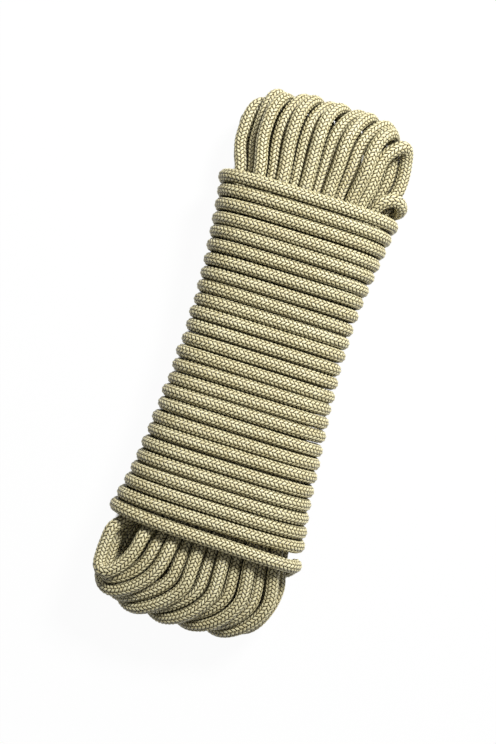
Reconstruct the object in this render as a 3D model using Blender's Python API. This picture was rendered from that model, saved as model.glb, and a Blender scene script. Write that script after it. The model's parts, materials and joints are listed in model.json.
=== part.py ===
"""A hank of braided rope: fourteen lengthwise loops bound by a close winding.

The hank lies on its back. X runs across it, Y along it and Z up from the table.
The rope is one length: it starts inside the bundle, runs up and down in the
lengthwise loops, turns over in a small bight at the top right, winds round the
bundle to the bottom, and its end is tucked back up under the last turns.
Routes are worked out in rope diameters and scaled at the end.
"""
import math

import bpy
import numpy as np
from mathutils import Vector

# ---- driving sizes, metres -------------------------------------------------
ROPE_DIAMETER = 0.010
TURN_CLEARANCE = 0.0010     # turns that touch on the real hank are drawn this much thinner
SHEATH_WALL = 0.0012
CORE_STRAND_DIAMETER = 0.0018
HANK_LENGTH = 0.403
WINDING_LENGTH = 0.2637
WINDING_OFFSET = -0.0025    # middle of the winding from the middle of the hank, along Y
WAIST_OFFSET = 0.028        # narrowest place of the hank, from its middle
TAIL_LENGTH = 0.035         # last stretch of each end, with its sheath and core apart
SEAL_LENGTH = 0.004         # melted cap on each rope end
SPLIT_GAP = 0.0004          # between pieces that meet end to end
CORE_GAP = 0.00035          # between neighbouring core strands
PRESSED_FLAT = 0.001        # how far the lowest turns are pressed by the table

# ---- driving counts and proportions ----------------------------------------
LOOP_COUNT = 14
WINDING_TURNS = 24
CORE_RING_COUNT = 6         # core strands round the middle one
WAIST_SPREAD = 0.695        # inside width of the winding for each loop, in rope diameters
TOP_SPREAD = 0.829
BOTTOM_SPREAD = 0.900
WAIST_DEPTH = 3.95          # inside depth of the winding, in rope diameters
END_DEPTH = 6.10
FLARE_POWER = 1.9
OVAL_POWER = 3.0            # 2 is an ellipse, more is squarer
TOP_TURN = -1.1             # slots that the bundle is turned round its axis at each end
BOTTOM_TURN = 2.9
TOP_LEAN = 0.36             # how far over a bend's crest lies between its legs
TOP_END_LEAN = 0.50
BOTTOM_LEAN = 0.55
END_WIDENING = 0.10         # loops spread past the winding by this share

# ---- drawing resolution ----------------------------------------------------
TURN_POINTS = 16
BEND_POINTS = 8
LEG_SHARES = (-1.0, -0.667, -0.333, 0.0, 0.35, 1.0)   # leg corners, from waist to each exit
ROPE_SIDES = 6
TAIL_SIDES = 16
STRAND_SIDES = 12
SEAL_STEPS = ((0.0, 0.93), (0.35, 1.0), (0.7, 0.9), (0.9, 0.66), (1.0, 0.3))
SECTION_COUNT = 28
FINE_STEP = 0.42            # spacing of route points while the loops settle, in diameters

ROPE_COLOUR = (0.36, 0.31, 0.17, 1.0)
CORE_COLOUR = (0.80, 0.78, 0.72, 1.0)
SEAL_COLOUR = (0.16, 0.12, 0.06, 1.0)

SLOT_COUNT = 2 * LOOP_COUNT + 2
OUTER_TAIL_SLOT = LOOP_COUNT             # only filled near the bottom
INNER_TAIL_SLOT = SLOT_COUNT - 1         # only filled near the top
DRAWN = 1 - TURN_CLEARANCE / ROPE_DIAMETER
SPLIT = SPLIT_GAP / ROPE_DIAMETER
HALF_HANK = HANK_LENGTH / ROPE_DIAMETER / 2
HALF_WINDING = WINDING_LENGTH / ROPE_DIAMETER / 2
MIDDLE = WINDING_OFFSET / ROPE_DIAMETER
TOP_EXIT = MIDDLE + HALF_WINDING
BOTTOM_EXIT = MIDDLE - HALF_WINDING
WAIST = WAIST_OFFSET / ROPE_DIAMETER
PITCH = (2 * HALF_WINDING - 1) / (WINDING_TURNS - 1)
CLOSE = 1.02                # distance that settled strands keep, in diameters
DEPTH_REACH = 0.8           # share of the way to each end at which the winding is full depth
WINDING_SEAT = 0.55         # winding's centre line from the inside of its section
LEVEL_SHARE = 0.975         # share of its half depth at which the underside runs level
WINDING_START = 0.625       # where on the back right the winding begins, in turns
WINDING_LEFT_OFF = 0.5      # how much of its last turn is the tuck instead
LAST_TURN_DROP = 0.45       # slant of the last turn across the front
TOP_FALL = 0.01             # loops near the edges reach less far, by their place cubed
BOTTOM_FALL = 0.008
BEND_ROUND = 3.2            # height of the round part of a bend
TOP_RISE = 0.16             # lift of an end's loops towards the side of its open loop
BOTTOM_RISE = -0.112
SWEPT_LOOPS = (0, 2, 9, 13)             # bottom loops, and how far each crest is swept aside
BOTTOM_SWEEP = (-0.6, -1.2, -1.1, -0.3)
OPEN_LOOPS = (0, 1, 2)                  # bottom loops, and how far each back leg stands out
OPEN_LEG = (-0.45, -0.15, 0.0)
END_LIMIT = END_DEPTH / 2 + 0.33
STRAIGHT_END = 1.05         # each drawn piece runs straight this far before its end
OUTER_TAIL_TOP = BOTTOM_EXIT + STRAIGHT_END + (TAIL_LENGTH + SEAL_LENGTH) / ROPE_DIAMETER + 1
INNER_TAIL_BOTTOM = TOP_EXIT - STRAIGHT_END - (TAIL_LENGTH + SEAL_LENGTH) / ROPE_DIAMETER - 1
LAST_LEG_SLOT = LOOP_COUNT + 1           # goes up into the small bight
HELD_LEG = 1.5              # length of leg inside the winding that stays still
LEANING_LOOPS = 9           # top loops whose crest leans to the left leg
BIGHT_CREST = (0.2, 1.515, 1.2)          # from the winding's top right corner
BIGHT_UP = (0.3, 2.6, 1.6)              # directions along the small bight: up its leg,
BIGHT_OVER = (1.5, 0.2, -1.2)           # over the crest,
BIGHT_DOWN = (2.2, -1.6, -2.4)          # and down behind
BIGHT_INTO = 3.0
FINE_TURN_POINTS = 48
FIRST_TURNS = 1.4           # turns of the winding that the top loops are kept clear of
LAST_TURNS = 1.1
CURL_CREST = (-0.2, -1.065, -1.9)        # from the winding's bottom right corner
CURL_LEAVE = 2.1
CURL_OVER = (-2.1, -0.3, -0.3)
CURL_UP = (0.0, 2.4, 0.0)
PACKING_ROUNDS = 300
SETTLING_ROUNDS = 200
DRAWN_CLOSE = 1.01          # the same distance for the drawn, straight-sided rope
DRAWN_ROUNDS = 120
CURL_POINTS = 10            # corners of the small bight and of the tuck
OWN_REACH = 2.9             # a strand doesn't push itself within this length
KEEP_SHAPE = 0.01           # share of each corner's shift taken back in every round
KEEP_DRAWN_SHAPE = 0.004


# ---- the section of the winding ---------------------------------------------
def ease(share):
    """Slow start, slow end: 3s^2 - 2s^3 of a share held between 0 and 1."""
    share = np.clip(share, 0.0, 1.0)
    return share * share * (3 - 2 * share)


def half_section(y):
    """Half width and half depth inside the winding at height y: widest at its two ends."""
    up = np.clip((y - WAIST) / (TOP_EXIT - WAIST), 0, None)
    down = np.clip((WAIST - y) / (WAIST - BOTTOM_EXIT), 0, None)
    width = WAIST_SPREAD + (TOP_SPREAD - WAIST_SPREAD) * up ** FLARE_POWER
    width = width + (BOTTOM_SPREAD - WAIST_SPREAD) * down ** FLARE_POWER
    depth = WAIST_DEPTH + (END_DEPTH - WAIST_DEPTH) * ease((up + down) / DEPTH_REACH)
    return width * LOOP_COUNT / 2, depth / 2


def oval_point(half_width, half_depth, angle):
    """A superellipse: each axis is its half size times the cosine or sine to the power 2/n.

    Angle 0 is the left tip, a quarter turn the front, half a turn the right tip.
    """
    across = -np.cos(angle)
    over = np.sin(angle)
    power = 2 / OVAL_POWER
    x = half_width * np.sign(across) * np.abs(across) ** power
    z = half_depth * np.sign(over) * np.abs(over) ** power
    return x, z


def oval_outline(half_width, half_depth, count=720):
    """Points once round the superellipse, with the distance travelled at each."""
    x, z = oval_point(half_width, half_depth, np.linspace(0, 2 * math.pi, count + 1))
    travelled = np.concatenate([[0], np.cumsum(np.hypot(np.diff(x), np.diff(z)))])
    return x, z, travelled


# ---- packing the bundle inside the winding ----------------------------------
def ring_of_slots(y, turn):
    """Places of all slots at height y: evenly round a flattened ring, stepped in and out.

    Where a slot has less than one diameter of ring, every second strand steps in,
    so that neighbours stay a diameter apart: step = sqrt(1 - gap^2) / 2.
    """
    half_width, half_depth = half_section(y)
    half_width = half_width - 0.5
    half_depth = half_depth - 0.5
    step = 0.3
    for _ in range(30):
        x, z, travelled = oval_outline(half_width - step, half_depth - step)
        gap = travelled[-1] / SLOT_COUNT
        step = 0.5 * step + 0.25 * math.sqrt(max(0.0, 1 - gap * gap))
    along = ((np.arange(SLOT_COUNT) + turn) * gap) % travelled[-1]
    x = np.interp(along, travelled, x)
    z = np.interp(along, travelled, z)
    out_x = np.sign(x) * np.abs(x / half_width) ** (OVAL_POWER - 1) / half_width
    out_z = np.sign(z) * np.abs(z / half_depth) ** (OVAL_POWER - 1) / half_depth
    outward = np.stack([out_x, out_z], 1) / np.hypot(out_x, out_z)[:, None]
    in_or_out = step * (1 - 2 * (np.arange(SLOT_COUNT) % 2))
    return np.stack([x, z], 1) + outward * in_or_out[:, None]


def pack_bundle(heights):
    """Strand centres in every section, pushed apart until none overlap: (section, slot, 2)."""
    share = (heights - BOTTOM_EXIT) / (TOP_EXIT - BOTTOM_EXIT)
    turns = BOTTOM_TURN + (TOP_TURN - BOTTOM_TURN) * share
    places = np.stack([ring_of_slots(y, turn) for y, turn in zip(heights, turns)])
    filled = np.ones(places.shape[:2], bool)
    filled[:, OUTER_TAIL_SLOT] = heights < OUTER_TAIL_TOP
    filled[:, INNER_TAIL_SLOT] = heights > INNER_TAIL_BOTTOM
    both = filled[:, :, None] & filled[:, None, :] & ~np.eye(SLOT_COUNT, dtype=bool)[None]
    walls = []
    for y in heights:
        half_width, half_depth = half_section(y)
        x, z, _ = oval_outline(half_width + 0.5, half_depth + 0.5, 120)
        walls.append(np.stack([x, z], 1))
    walls = np.stack(walls)
    for _ in range(PACKING_ROUNDS):
        apart = places[:, :, None] - places[:, None]
        distance = np.sqrt((apart ** 2).sum(-1)) + 1e-9
        overlap = np.where(both, np.clip(CLOSE - distance, 0, None), 0)
        move = (apart / distance[..., None] * overlap[..., None]).sum(2) * 0.45
        off_wall = places[:, :, None] - walls[:, None]
        distance = np.sqrt((off_wall ** 2).sum(-1))
        nearest = distance.argmin(2)[..., None]
        distance = np.take_along_axis(distance, nearest, 2)
        inward = np.take_along_axis(off_wall, nearest[..., None], 2)[:, :, 0] / distance
        places = places + move + inward * np.clip(CLOSE - distance, 0, None) * 0.7
        bent = (places[:-2] + places[2:]) / 2 - places[1:-1]
        places[1:-1] = places[1:-1] + bent / 8
    return places


# ---- routes along the rope ---------------------------------------------------
def even_points(route, count):
    """The same route as count points, evenly spaced along it."""
    travelled = np.concatenate([[0], np.cumsum(np.linalg.norm(np.diff(route, axis=0), axis=1))])
    places = np.linspace(0, travelled[-1], count)
    return np.stack([np.interp(places, travelled, route[:, axis]) for axis in range(3)], 1)


def route_length(route):
    return float(np.linalg.norm(np.diff(route, axis=0), axis=1).sum())


def between(route, start, end):
    """The stretch of a route from one travelled length to another."""
    travelled = np.concatenate([[0], np.cumsum(np.linalg.norm(np.diff(route, axis=0), axis=1))])
    places = np.stack([np.interp((start, end), travelled, route[:, axis]) for axis in range(3)], 1)
    inner = route[(travelled > start + 1e-6) & (travelled < end - 1e-6)]
    return np.vstack([places[:1], inner, places[1:]])


def fine_points(route):
    return even_points(route, max(4, int(round(route_length(route) / FINE_STEP)) + 1))


def arc_between(start, start_pull, end, end_pull, count=40):
    """A cubic curve that leaves start along start_pull and reaches end along end_pull."""
    t = np.linspace(0, 1, count)[:, None]
    blend_start = 2 * t ** 3 - 3 * t ** 2 + 1
    blend_end = 1 - blend_start
    pull_start = t ** 3 - 2 * t ** 2 + t
    pull_end = t ** 3 - t ** 2
    return blend_start * start + pull_start * start_pull + blend_end * end + pull_end * end_pull


def winding_point(angle, y):
    """A point of the winding at one section angle and height, its underside pressed level."""
    half_width, half_depth = half_section(np.clip(y, BOTTOM_EXIT, TOP_EXIT))
    x, z = oval_point(half_width + WINDING_SEAT, half_depth + WINDING_SEAT, angle)
    return np.array([x, y, max(z, -LEVEL_SHARE * (half_depth + WINDING_SEAT))])


def winding_height(turns):
    """Height after so many turns from the left tip of the first: level in front, down behind."""
    whole = np.floor(turns)
    behind = ease((turns - whole) * 2 - 1)
    y = TOP_EXIT - 0.5 - PITCH * (whole + behind)
    last = turns - (WINDING_TURNS - 1)
    return y - LAST_TURN_DROP * ease(last * 2)


def winding_route(points_per_turn):
    """From the back right corner above the first turn to the right tip of the last."""
    start = int(round((WINDING_START - 1) * points_per_turn))
    end = int(round((WINDING_TURNS - WINDING_LEFT_OFF) * points_per_turn))
    turns = np.arange(start, end + 1) / points_per_turn
    return np.stack([winding_point(2 * math.pi * turn, winding_height(turn)) for turn in turns])


def stand_out(route):
    """Moves the corners of a faceted route out, so that its straight sides touch the curve."""
    out = route.copy()
    out[1:-1, 0::2] += 0.25 * (route[1:-1] - (route[:-2] + route[2:]) / 2)[:, 0::2]
    return out


def bend(front, back, exit_height, side, lean, rise, sweep=0.0, stand_off=0.0):
    """One loop's end: up from the front leg, over its crest, and down to the back leg.

    The legs spread and lift a little past the winding. Over the crest the route is
    half an ellipse: y by its sine, x and z from leg to leg by (1 - cosine) / 2,
    with x to a power that leans the crest over, and swept aside by the sine squared.
    """
    crest_x = front[0] * 1.1 + 0.5 * (back[0] - front[0]) + sweep
    fall = TOP_FALL if side > 0 else BOTTOM_FALL
    reach = HALF_HANK - 0.5 - abs(exit_height) - fall * abs(crest_x) ** 3
    round_part = min(BEND_ROUND, reach - 0.5)
    wide_front = front + np.array([front[0] * END_WIDENING, rise * front[0] + 0.15])
    wide_back = back + np.array([back[0] * END_WIDENING + stand_off, rise * back[0] - 0.15])
    share = np.linspace(0, 1, 12)[:, None]
    up = front + (wide_front - front) * ease(share)
    down = back + (wide_back - back) * ease(share)
    leg_y = share[:, 0] * (reach - round_part)
    angle = np.linspace(0, math.pi, 22)[1:-1]
    over = ((1 - np.cos(angle)) / 2)[:, None]
    over_x = over ** (math.log(lean) / math.log(0.5))
    crest = wide_front + (wide_back - wide_front) * np.hstack([over_x, over])
    crest[:, 0] += sweep * np.sin(angle) ** 2
    crest_y = reach - round_part + round_part * np.sin(angle)
    flat = np.concatenate([up, crest, down[::-1]])
    y = exit_height + side * np.concatenate([leg_y, crest_y, leg_y[::-1]])
    return np.stack([flat[:, 0], y, flat[:, 1]], 1)


def side_shares(routes, spacing):
    """Matrix that turns all corners into points along the straight sides between them."""
    rows = []
    first = 0
    total = sum(len(route) for route in routes)
    for route in routes:
        sides = np.linalg.norm(np.diff(route, axis=0), axis=1)
        for corner, side in enumerate(sides):
            steps = max(1, round(side / spacing))
            for step in range(steps):
                row = np.zeros(total)
                row[first + corner] = 1 - step / steps
                row[first + corner + 1] = step / steps
                rows.append(row)
        row = np.zeros(total)
        row[first + len(route) - 1] = 1
        rows.append(row)
        first += len(route)
    return np.stack(rows)


def settle(routes, free, close, keep, smoothing, rounds):
    """Pushes strands apart, smoothly along each, until they only touch.

    The routes' corners move, each by its own free share; distances are measured
    between points along their sides. A little of each move is taken back every round,
    so that the routes keep their shape.
    """
    lengths = [len(route) for route in routes]
    starts = np.cumsum([0] + lengths)
    corners = np.concatenate(routes)
    free = np.concatenate(free)[:, None]
    shares = side_shares(routes, FINE_STEP)
    owner = shares @ np.repeat(np.arange(len(routes)), lengths)
    points = shares @ corners
    run = np.concatenate([[0], np.cumsum(np.linalg.norm(np.diff(points, axis=0), axis=1))])
    beside = np.abs(owner[:, None] - owner[None]) < 0.5
    beside &= np.abs(run[:, None] - run[None]) < OWN_REACH
    loose = (shares @ free)[:, 0] > 0
    tested = np.triu(~beside, 1) & (loose[:, None] | loose[None])
    home = corners.copy()
    for turn in range(rounds):
        points = shares @ corners
        if turn % 8 == 0:
            size = (points ** 2).sum(1)
            squared = size[:, None] + size[None] - 2 * points @ points.T
            one, other = np.nonzero((squared < (close + 0.45) ** 2) & tested)
        apart = points[one] - points[other]
        distance = np.linalg.norm(apart, axis=1) + 1e-9
        overlap = np.clip(close - distance, 0, None)
        push = apart / distance[:, None] * overlap[:, None] / 2
        move = np.zeros_like(points)
        touches = np.zeros(len(points))
        np.add.at(move, one, push)
        np.add.at(move, other, -push)
        np.add.at(touches, one, overlap > 0)
        np.add.at(touches, other, overlap > 0)
        move = move / np.maximum(touches, 1)[:, None] ** 0.6
        touching = shares.T @ (touches > 0)
        move = (shares.T @ move) / np.maximum(touching, 1)[:, None]
        shift = corners - home
        for first, end in zip(starts, starts[1:]):
            spread = move[first:end]
            for _ in range(smoothing):
                spread[1:-1] = (spread[:-2] + 2 * spread[1:-1] + spread[2:]) / 4
            bent = np.zeros_like(spread)
            bent[1:-1] = (shift[first:end - 2] + shift[first + 2:end]) / 2 - shift[first + 1:end - 1]
            kink = np.zeros_like(spread)
            kink[2:-2] = (bent[1:-3] + bent[3:-1]) / 2 - bent[2:-2]
            move[first:end] = spread * 1.6 - kink * 0.35
        corners = corners + (move - keep * shift) * free
        low = np.clip(corners[:, 2], -END_LIMIT, END_LIMIT)
        corners[:, 2] = np.where(free[:, 0] > 0, low, corners[:, 2])
    return [corners[first:end] for first, end in zip(starts, starts[1:])]


def settle_end(stretches):
    """Settles one end of the hank in fine steps; each stretch holds its first and last lengths."""
    routes = [fine_points(route) for route, _, _ in stretches]
    free = []
    for route, (_, held_start, held_end) in zip(routes, stretches):
        travelled = np.linspace(0, route_length(route), len(route))
        inside = np.minimum(travelled - held_start, travelled[-1] - held_end - travelled)
        free.append(np.clip(inside / (3 * FINE_STEP), 0, 1))
    settled = settle(routes, free, CLOSE, KEEP_SHAPE, 3, SETTLING_ROUNDS)
    return [
        between(route, held_start, route_length(route) - held_end)
        for route, (_, held_start, held_end) in zip(settled, stretches)
    ]


# ---- the whole route ---------------------------------------------------------
def leg_points(bundle, heights, slot, y):
    """Points of one slot's strand at the given heights."""
    y = np.atleast_1d(y)
    x = np.interp(y, heights, bundle[:, slot, 0])
    z = np.interp(y, heights, bundle[:, slot, 1])
    return np.stack([x, y, z], 1)


def bend_stretch(bundle, heights, front_slot, back_slot, side):
    """One bend with the first of its two legs on each side, which stay held."""
    exit_height = heights[-1] if side > 0 else heights[0]
    section = bundle[-1] if side > 0 else bundle[0]
    inside = exit_height - side * HELD_LEG
    up = leg_points(bundle, heights, front_slot, np.linspace(inside, exit_height, 5))
    down = leg_points(bundle, heights, back_slot, np.linspace(exit_height, inside, 5))
    legs = section[front_slot], section[back_slot]
    if side > 0:
        lean = TOP_LEAN if front_slot < LEANING_LOOPS else TOP_END_LEAN
        rise = TOP_RISE if front_slot < LOOP_COUNT - 1 else 0.0
        over = bend(*legs, exit_height, side, lean, rise)
    else:
        sweep = np.interp(front_slot, SWEPT_LOOPS, BOTTOM_SWEEP)
        stand_off = np.interp(front_slot, OPEN_LOOPS, OPEN_LEG)
        over = bend(*legs, exit_height, side, BOTTOM_LEAN, BOTTOM_RISE, sweep, stand_off)
    route = np.concatenate([up[:-1], over, down[1:]])
    return route, route_length(up), route_length(down)


def bight_stretch(bundle, heights, winding):
    """The small bight at the top right, from the last leg over into the winding."""
    inside = heights[-1] - HELD_LEG
    up = leg_points(bundle, heights, LAST_LEG_SLOT, np.linspace(inside, heights[-1], 5))
    into = winding[1] - winding[0]
    into = into / np.linalg.norm(into) * BIGHT_INTO
    crest = np.array([half_section(TOP_EXIT)[0], TOP_EXIT, 0.0]) + BIGHT_CREST
    first = arc_between(up[-1], np.array(BIGHT_UP), crest, np.array(BIGHT_OVER))
    second = arc_between(crest, np.array(BIGHT_DOWN), winding[0], into)
    route = np.concatenate([up[:-1], first, second[1:], winding[1:]])
    return route, route_length(up), route_length(winding)


def curl_stretch(bundle, heights, winding):
    """The tuck at the bottom right, from the last turn round and up under it."""
    inside = heights[0] + HELD_LEG
    up = leg_points(bundle, heights, OUTER_TAIL_SLOT, np.linspace(heights[0], inside, 5))
    leave = winding[-1] - winding[-2]
    leave = leave / np.linalg.norm(leave) * CURL_LEAVE
    crest = np.array([half_section(BOTTOM_EXIT)[0], BOTTOM_EXIT, 0.0]) + CURL_CREST
    first = arc_between(winding[-1], leave, crest, np.array(CURL_OVER))
    second = arc_between(crest, np.array(CURL_OVER), up[0], np.array(CURL_UP))
    route = np.concatenate([winding[:-1], first, second[1:], up[1:]])
    return route, route_length(winding), route_length(up)


def drawn_ends(bundle, heights):
    """Both ends of the hank in straight sides: bends, small bight and tuck."""
    fine = winding_route(FINE_TURN_POINTS)
    first = fine[:int(FINE_TURN_POINTS * FIRST_TURNS)]
    last = fine[-int(FINE_TURN_POINTS * LAST_TURNS):]
    tops = [bend_stretch(bundle, heights, k, SLOT_COUNT - 1 - k, 1) for k in range(LOOP_COUNT)]
    bottoms = [bend_stretch(bundle, heights, k, SLOT_COUNT - 2 - k, -1) for k in range(LOOP_COUNT)]
    tops.append(bight_stretch(bundle, heights, first))
    bottoms.append(curl_stretch(bundle, heights, last))
    counts = [BEND_POINTS] * LOOP_COUNT + [CURL_POINTS]
    drawn = []
    for stretches in (tops, bottoms):
        settled = settle_end(stretches)
        drawn.append([stand_out(even_points(*pair)) for pair in zip(settled, counts)])
    return drawn


def rope_route():
    """The whole rope as one run of corners, and the lengths at which its pieces divide."""
    heights = np.linspace(BOTTOM_EXIT, TOP_EXIT, SECTION_COUNT)
    stations = np.array(
        [WAIST + share * (TOP_EXIT - WAIST if share > 0 else WAIST - BOTTOM_EXIT) for share in LEG_SHARES]
    )
    bundle = pack_bundle(heights)
    winding = stand_out(winding_route(TURN_POINTS))
    tops, bottoms = drawn_ends(bundle, heights)
    tail = (TAIL_LENGTH + SEAL_LENGTH) / ROPE_DIAMETER + 2 * SPLIT
    inner_leg = leg_points(bundle, heights, INNER_TAIL_SLOT, stations[:-3:-1])
    inner_leg = between(inner_leg, 0, STRAIGHT_END + tail)
    run = [inner_leg[:0:-1]]
    for k in range(LOOP_COUNT):
        down = leg_points(bundle, heights, k, stations[::-1])
        up = leg_points(bundle, heights, SLOT_COUNT - 2 - k, stations)
        run += [tops[k][::-1], down[1:-1], bottoms[k], up[1:-1]]
    run.append(up[-1:])
    loops = np.vstack(run)
    bight = tops[LOOP_COUNT]
    curl = bottoms[LOOP_COUNT]
    outer_leg = leg_points(bundle, heights, OUTER_TAIL_SLOT, stations[:2])
    outer_leg = between(outer_leg, 0, STRAIGHT_END + tail)
    whole = np.vstack([loops[:-1], bight[:-1], winding[:-1], curl[:-1], outer_leg])
    free = np.ones(len(whole))
    first = len(loops) + len(bight) - 2
    free[first:first + len(winding)] = 0
    whole = settle([whole], [free], DRAWN_CLOSE, KEEP_DRAWN_SHAPE, 0, DRAWN_ROUNDS)[0]
    loops = whole[:len(loops)]
    bight = whole[len(loops) - 1:first + 1]
    curl = whole[first + len(winding) - 1:-1]
    to_exit = route_length(loops)
    to_winding = to_exit + route_length(bight)
    to_curl = to_winding + route_length(winding)
    to_tail = to_curl + route_length(curl)
    divides = [
        SEAL_LENGTH / ROPE_DIAMETER,
        tail,
        to_exit - STRAIGHT_END,
        to_winding + route_length(winding[:2]) + route_length(winding[1:3]) / 2,
        to_curl - route_length(winding[-2:]) / 2,
        to_tail + STRAIGHT_END,
        route_length(whole) - SEAL_LENGTH / ROPE_DIAMETER,
    ]
    return whole, divides


# ---- measuring ---------------------------------------------------------------
def least_distance(route, other):
    """Least distance between two routes' straight sides, or between a route and itself."""
    start = route[:-1, None]
    along = route[1:, None] - start
    other_start = other[None, :-1]
    other_along = other[None, 1:] - other_start
    offset = start - other_start
    own = (along ** 2).sum(-1)
    its = (other_along ** 2).sum(-1)
    both = (along * other_along).sum(-1)
    own_offset = (along * offset).sum(-1)
    its_offset = (other_along * offset).sum(-1)
    share = (both * its_offset - own_offset * its) / np.maximum(own * its - both ** 2, 1e-9)
    share = np.clip(share, 0, 1)
    its_share = np.clip((both * share + its_offset) / its, 0, 1)
    share = np.clip((both * its_share - own_offset) / own, 0, 1)
    nearest = offset + along * share[..., None] - other_along * its_share[..., None]
    distance = np.linalg.norm(nearest, axis=-1)
    if route is other:
        travelled = np.concatenate([[0], np.cumsum(np.sqrt(own[:, 0]))])
        ahead = travelled[:-1][None] - travelled[1:][:, None]
        distance[np.maximum(ahead, ahead.T) < OWN_REACH] = np.inf
    return float(distance.min())


# ---- solids ------------------------------------------------------------------
def sweep(route, radii, sides, carried=True, across=(1.0, 0.0, 0.0), half_step=0.5):
    """A closed tube with flat sides along a route, with one radius for each corner.

    At each corner the ring stands square to the route, turned so that one axis keeps
    as near as it can to the direction across: the last ring's where it is carried on,
    or always the same one.
    """
    step = np.diff(route, axis=0)
    step = step / np.linalg.norm(step, axis=1)[:, None]
    tangents = np.vstack([step[:1], step[:-1] + step[1:], step[-1:]])
    tangents = tangents / np.linalg.norm(tangents, axis=1)[:, None]
    angles = 2 * math.pi * (np.arange(sides) + half_step) / sides
    across = np.array(across)
    rings = []
    for centre, tangent, radius in zip(route, tangents, radii):
        side = across - tangent * across.dot(tangent)
        side = side / np.linalg.norm(side)
        normal = np.cross(side, tangent)
        ring = centre + radius * (np.cos(angles)[:, None] * normal + np.sin(angles)[:, None] * side)
        rings.append(ring)
        if carried:
            across = side
    faces = []
    for ring in range(len(route) - 1):
        for k in range(sides):
            following = (k + 1) % sides
            low = ring * sides
            faces.append((low + k, low + following, low + sides + following, low + sides + k))
    faces.append(tuple(reversed(range(sides))))
    faces.append(tuple((len(route) - 1) * sides + k for k in range(sides)))
    return np.vstack(rings), faces


def hollow(route, outer_radius, bore_radius, sides):
    """A straight tube with a bore: an outer and an inner skin joined at both ends."""
    outer, faces = sweep(route, [outer_radius] * 2, sides)
    inner, _ = sweep(route, [bore_radius] * 2, sides)
    faces = faces[:-2]
    inside = [tuple(2 * sides + corner for corner in reversed(face)) for face in faces]
    for k in range(sides):
        following = (k + 1) % sides
        bore = 2 * sides
        faces.append((following, k, bore + k, bore + following))
        faces.append((sides + k, sides + following, bore + sides + following, bore + sides + k))
    return np.vstack([outer, inner]), faces + inside


def ring_offsets(direction):
    """Places of the core strands round the middle one, square to a direction."""
    side = np.cross(direction, (0.0, 0.0, 1.0))
    side = side / np.linalg.norm(side)
    up = np.cross(side, direction)
    angles = 2 * math.pi * np.arange(CORE_RING_COUNT) / CORE_RING_COUNT
    return [np.cos(a) * side + np.sin(a) * up for a in angles]


def tail_pieces(route, end_name, seal_first):
    """One rope end: its sheath, its core strands and its melted seal."""
    direction = (route[-1] - route[0]) / route_length(route)
    radius = DRAWN / 2
    seal = SEAL_LENGTH / ROPE_DIAMETER
    if seal_first:
        seal_start = route[0] + direction * seal
        seal_way = -direction
        tail = between(route, seal + SPLIT, route_length(route))
    else:
        seal_start = route[-1] - direction * seal
        seal_way = direction
        tail = between(route, 0, route_length(route) - seal - SPLIT)
    pieces = {}
    bore = radius - SHEATH_WALL / ROPE_DIAMETER
    pieces[end_name + "_tail_sheath"] = hollow(tail, radius, bore, TAIL_SIDES), ROPE_COLOUR
    strand_radius = CORE_STRAND_DIAMETER / ROPE_DIAMETER / 2
    spread = 2 * strand_radius + CORE_GAP / ROPE_DIAMETER
    places = [np.zeros(3)] + [offset * spread for offset in ring_offsets(direction)]
    for number, place in enumerate(places):
        solid = sweep(tail + place, [strand_radius] * 2, STRAND_SIDES)
        pieces[f"{end_name}_core_strand_{number + 1}"] = solid, CORE_COLOUR
    steps = [seal_start + seal_way * seal * share for share, _ in SEAL_STEPS]
    radii = [radius * size for _, size in SEAL_STEPS]
    pieces[end_name + "_end_seal"] = sweep(np.array(steps), radii, TAIL_SIDES), SEAL_COLOUR
    return pieces


def rope_pieces():
    """Every piece's corners and faces, in rope diameters, with its colour."""
    whole, divides = rope_route()
    ends = [0] + divides + [route_length(whole)]
    names = ["inner_seal", "inner_tail", "loops", "bight", "winding", "curl", "outer_tail", "outer_seal"]
    parts = {}
    for name, start, end in zip(names, ends, ends[1:]):
        first_gap = 0 if start == 0 else SPLIT / 2
        last_gap = 0 if end == ends[-1] else SPLIT / 2
        parts[name] = between(whole, start + first_gap, end - last_gap)
    print("rope length, m:", round(route_length(whole) * ROPE_DIAMETER, 3))
    solids = {}
    for name, node in (("loops", "lengthwise_loops"), ("bight", "turnover_bight"), ("curl", "end_tuck")):
        route = parts[name]
        solids[node] = sweep(route, [DRAWN / 2] * len(route), ROPE_SIDES), ROPE_COLOUR
    route = parts["winding"]
    level = (0.0, 1.0, 0.0)
    radii = [DRAWN / 2] * len(route)
    solids["winding"] = sweep(route, radii, ROPE_SIDES, False, level), ROPE_COLOUR
    inner = between(whole, 0, divides[1] - SPLIT / 2)
    solids.update(tail_pieces(inner, "inner", True))
    outer = between(whole, divides[5] + SPLIT / 2, route_length(whole))
    solids.update(tail_pieces(outer, "outer", False))
    for name in ("loops", "winding", "bight", "curl"):
        gap = least_distance(parts[name], parts[name]) - DRAWN
        print(f"least gap of the {name} to itself, mm:", round(gap * ROPE_DIAMETER * 1000, 3))
    gap = least_distance(parts["loops"], parts["winding"]) - DRAWN
    print("least gap of the loops to the winding, mm:", round(gap * ROPE_DIAMETER * 1000, 3))
    gap = least_distance(whole, whole) - DRAWN
    print("least gap of the whole rope to itself, mm:", round(gap * ROPE_DIAMETER * 1000, 3))
    return solids


def make_material(name, colour):
    material = bpy.data.materials.new(name)
    material.use_nodes = True
    shader = material.node_tree.nodes["Principled BSDF"]
    shader.inputs["Base Color"].default_value = colour
    shader.inputs["Roughness"].default_value = 0.6
    shader.inputs["Metallic"].default_value = 0.0
    return material


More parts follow.
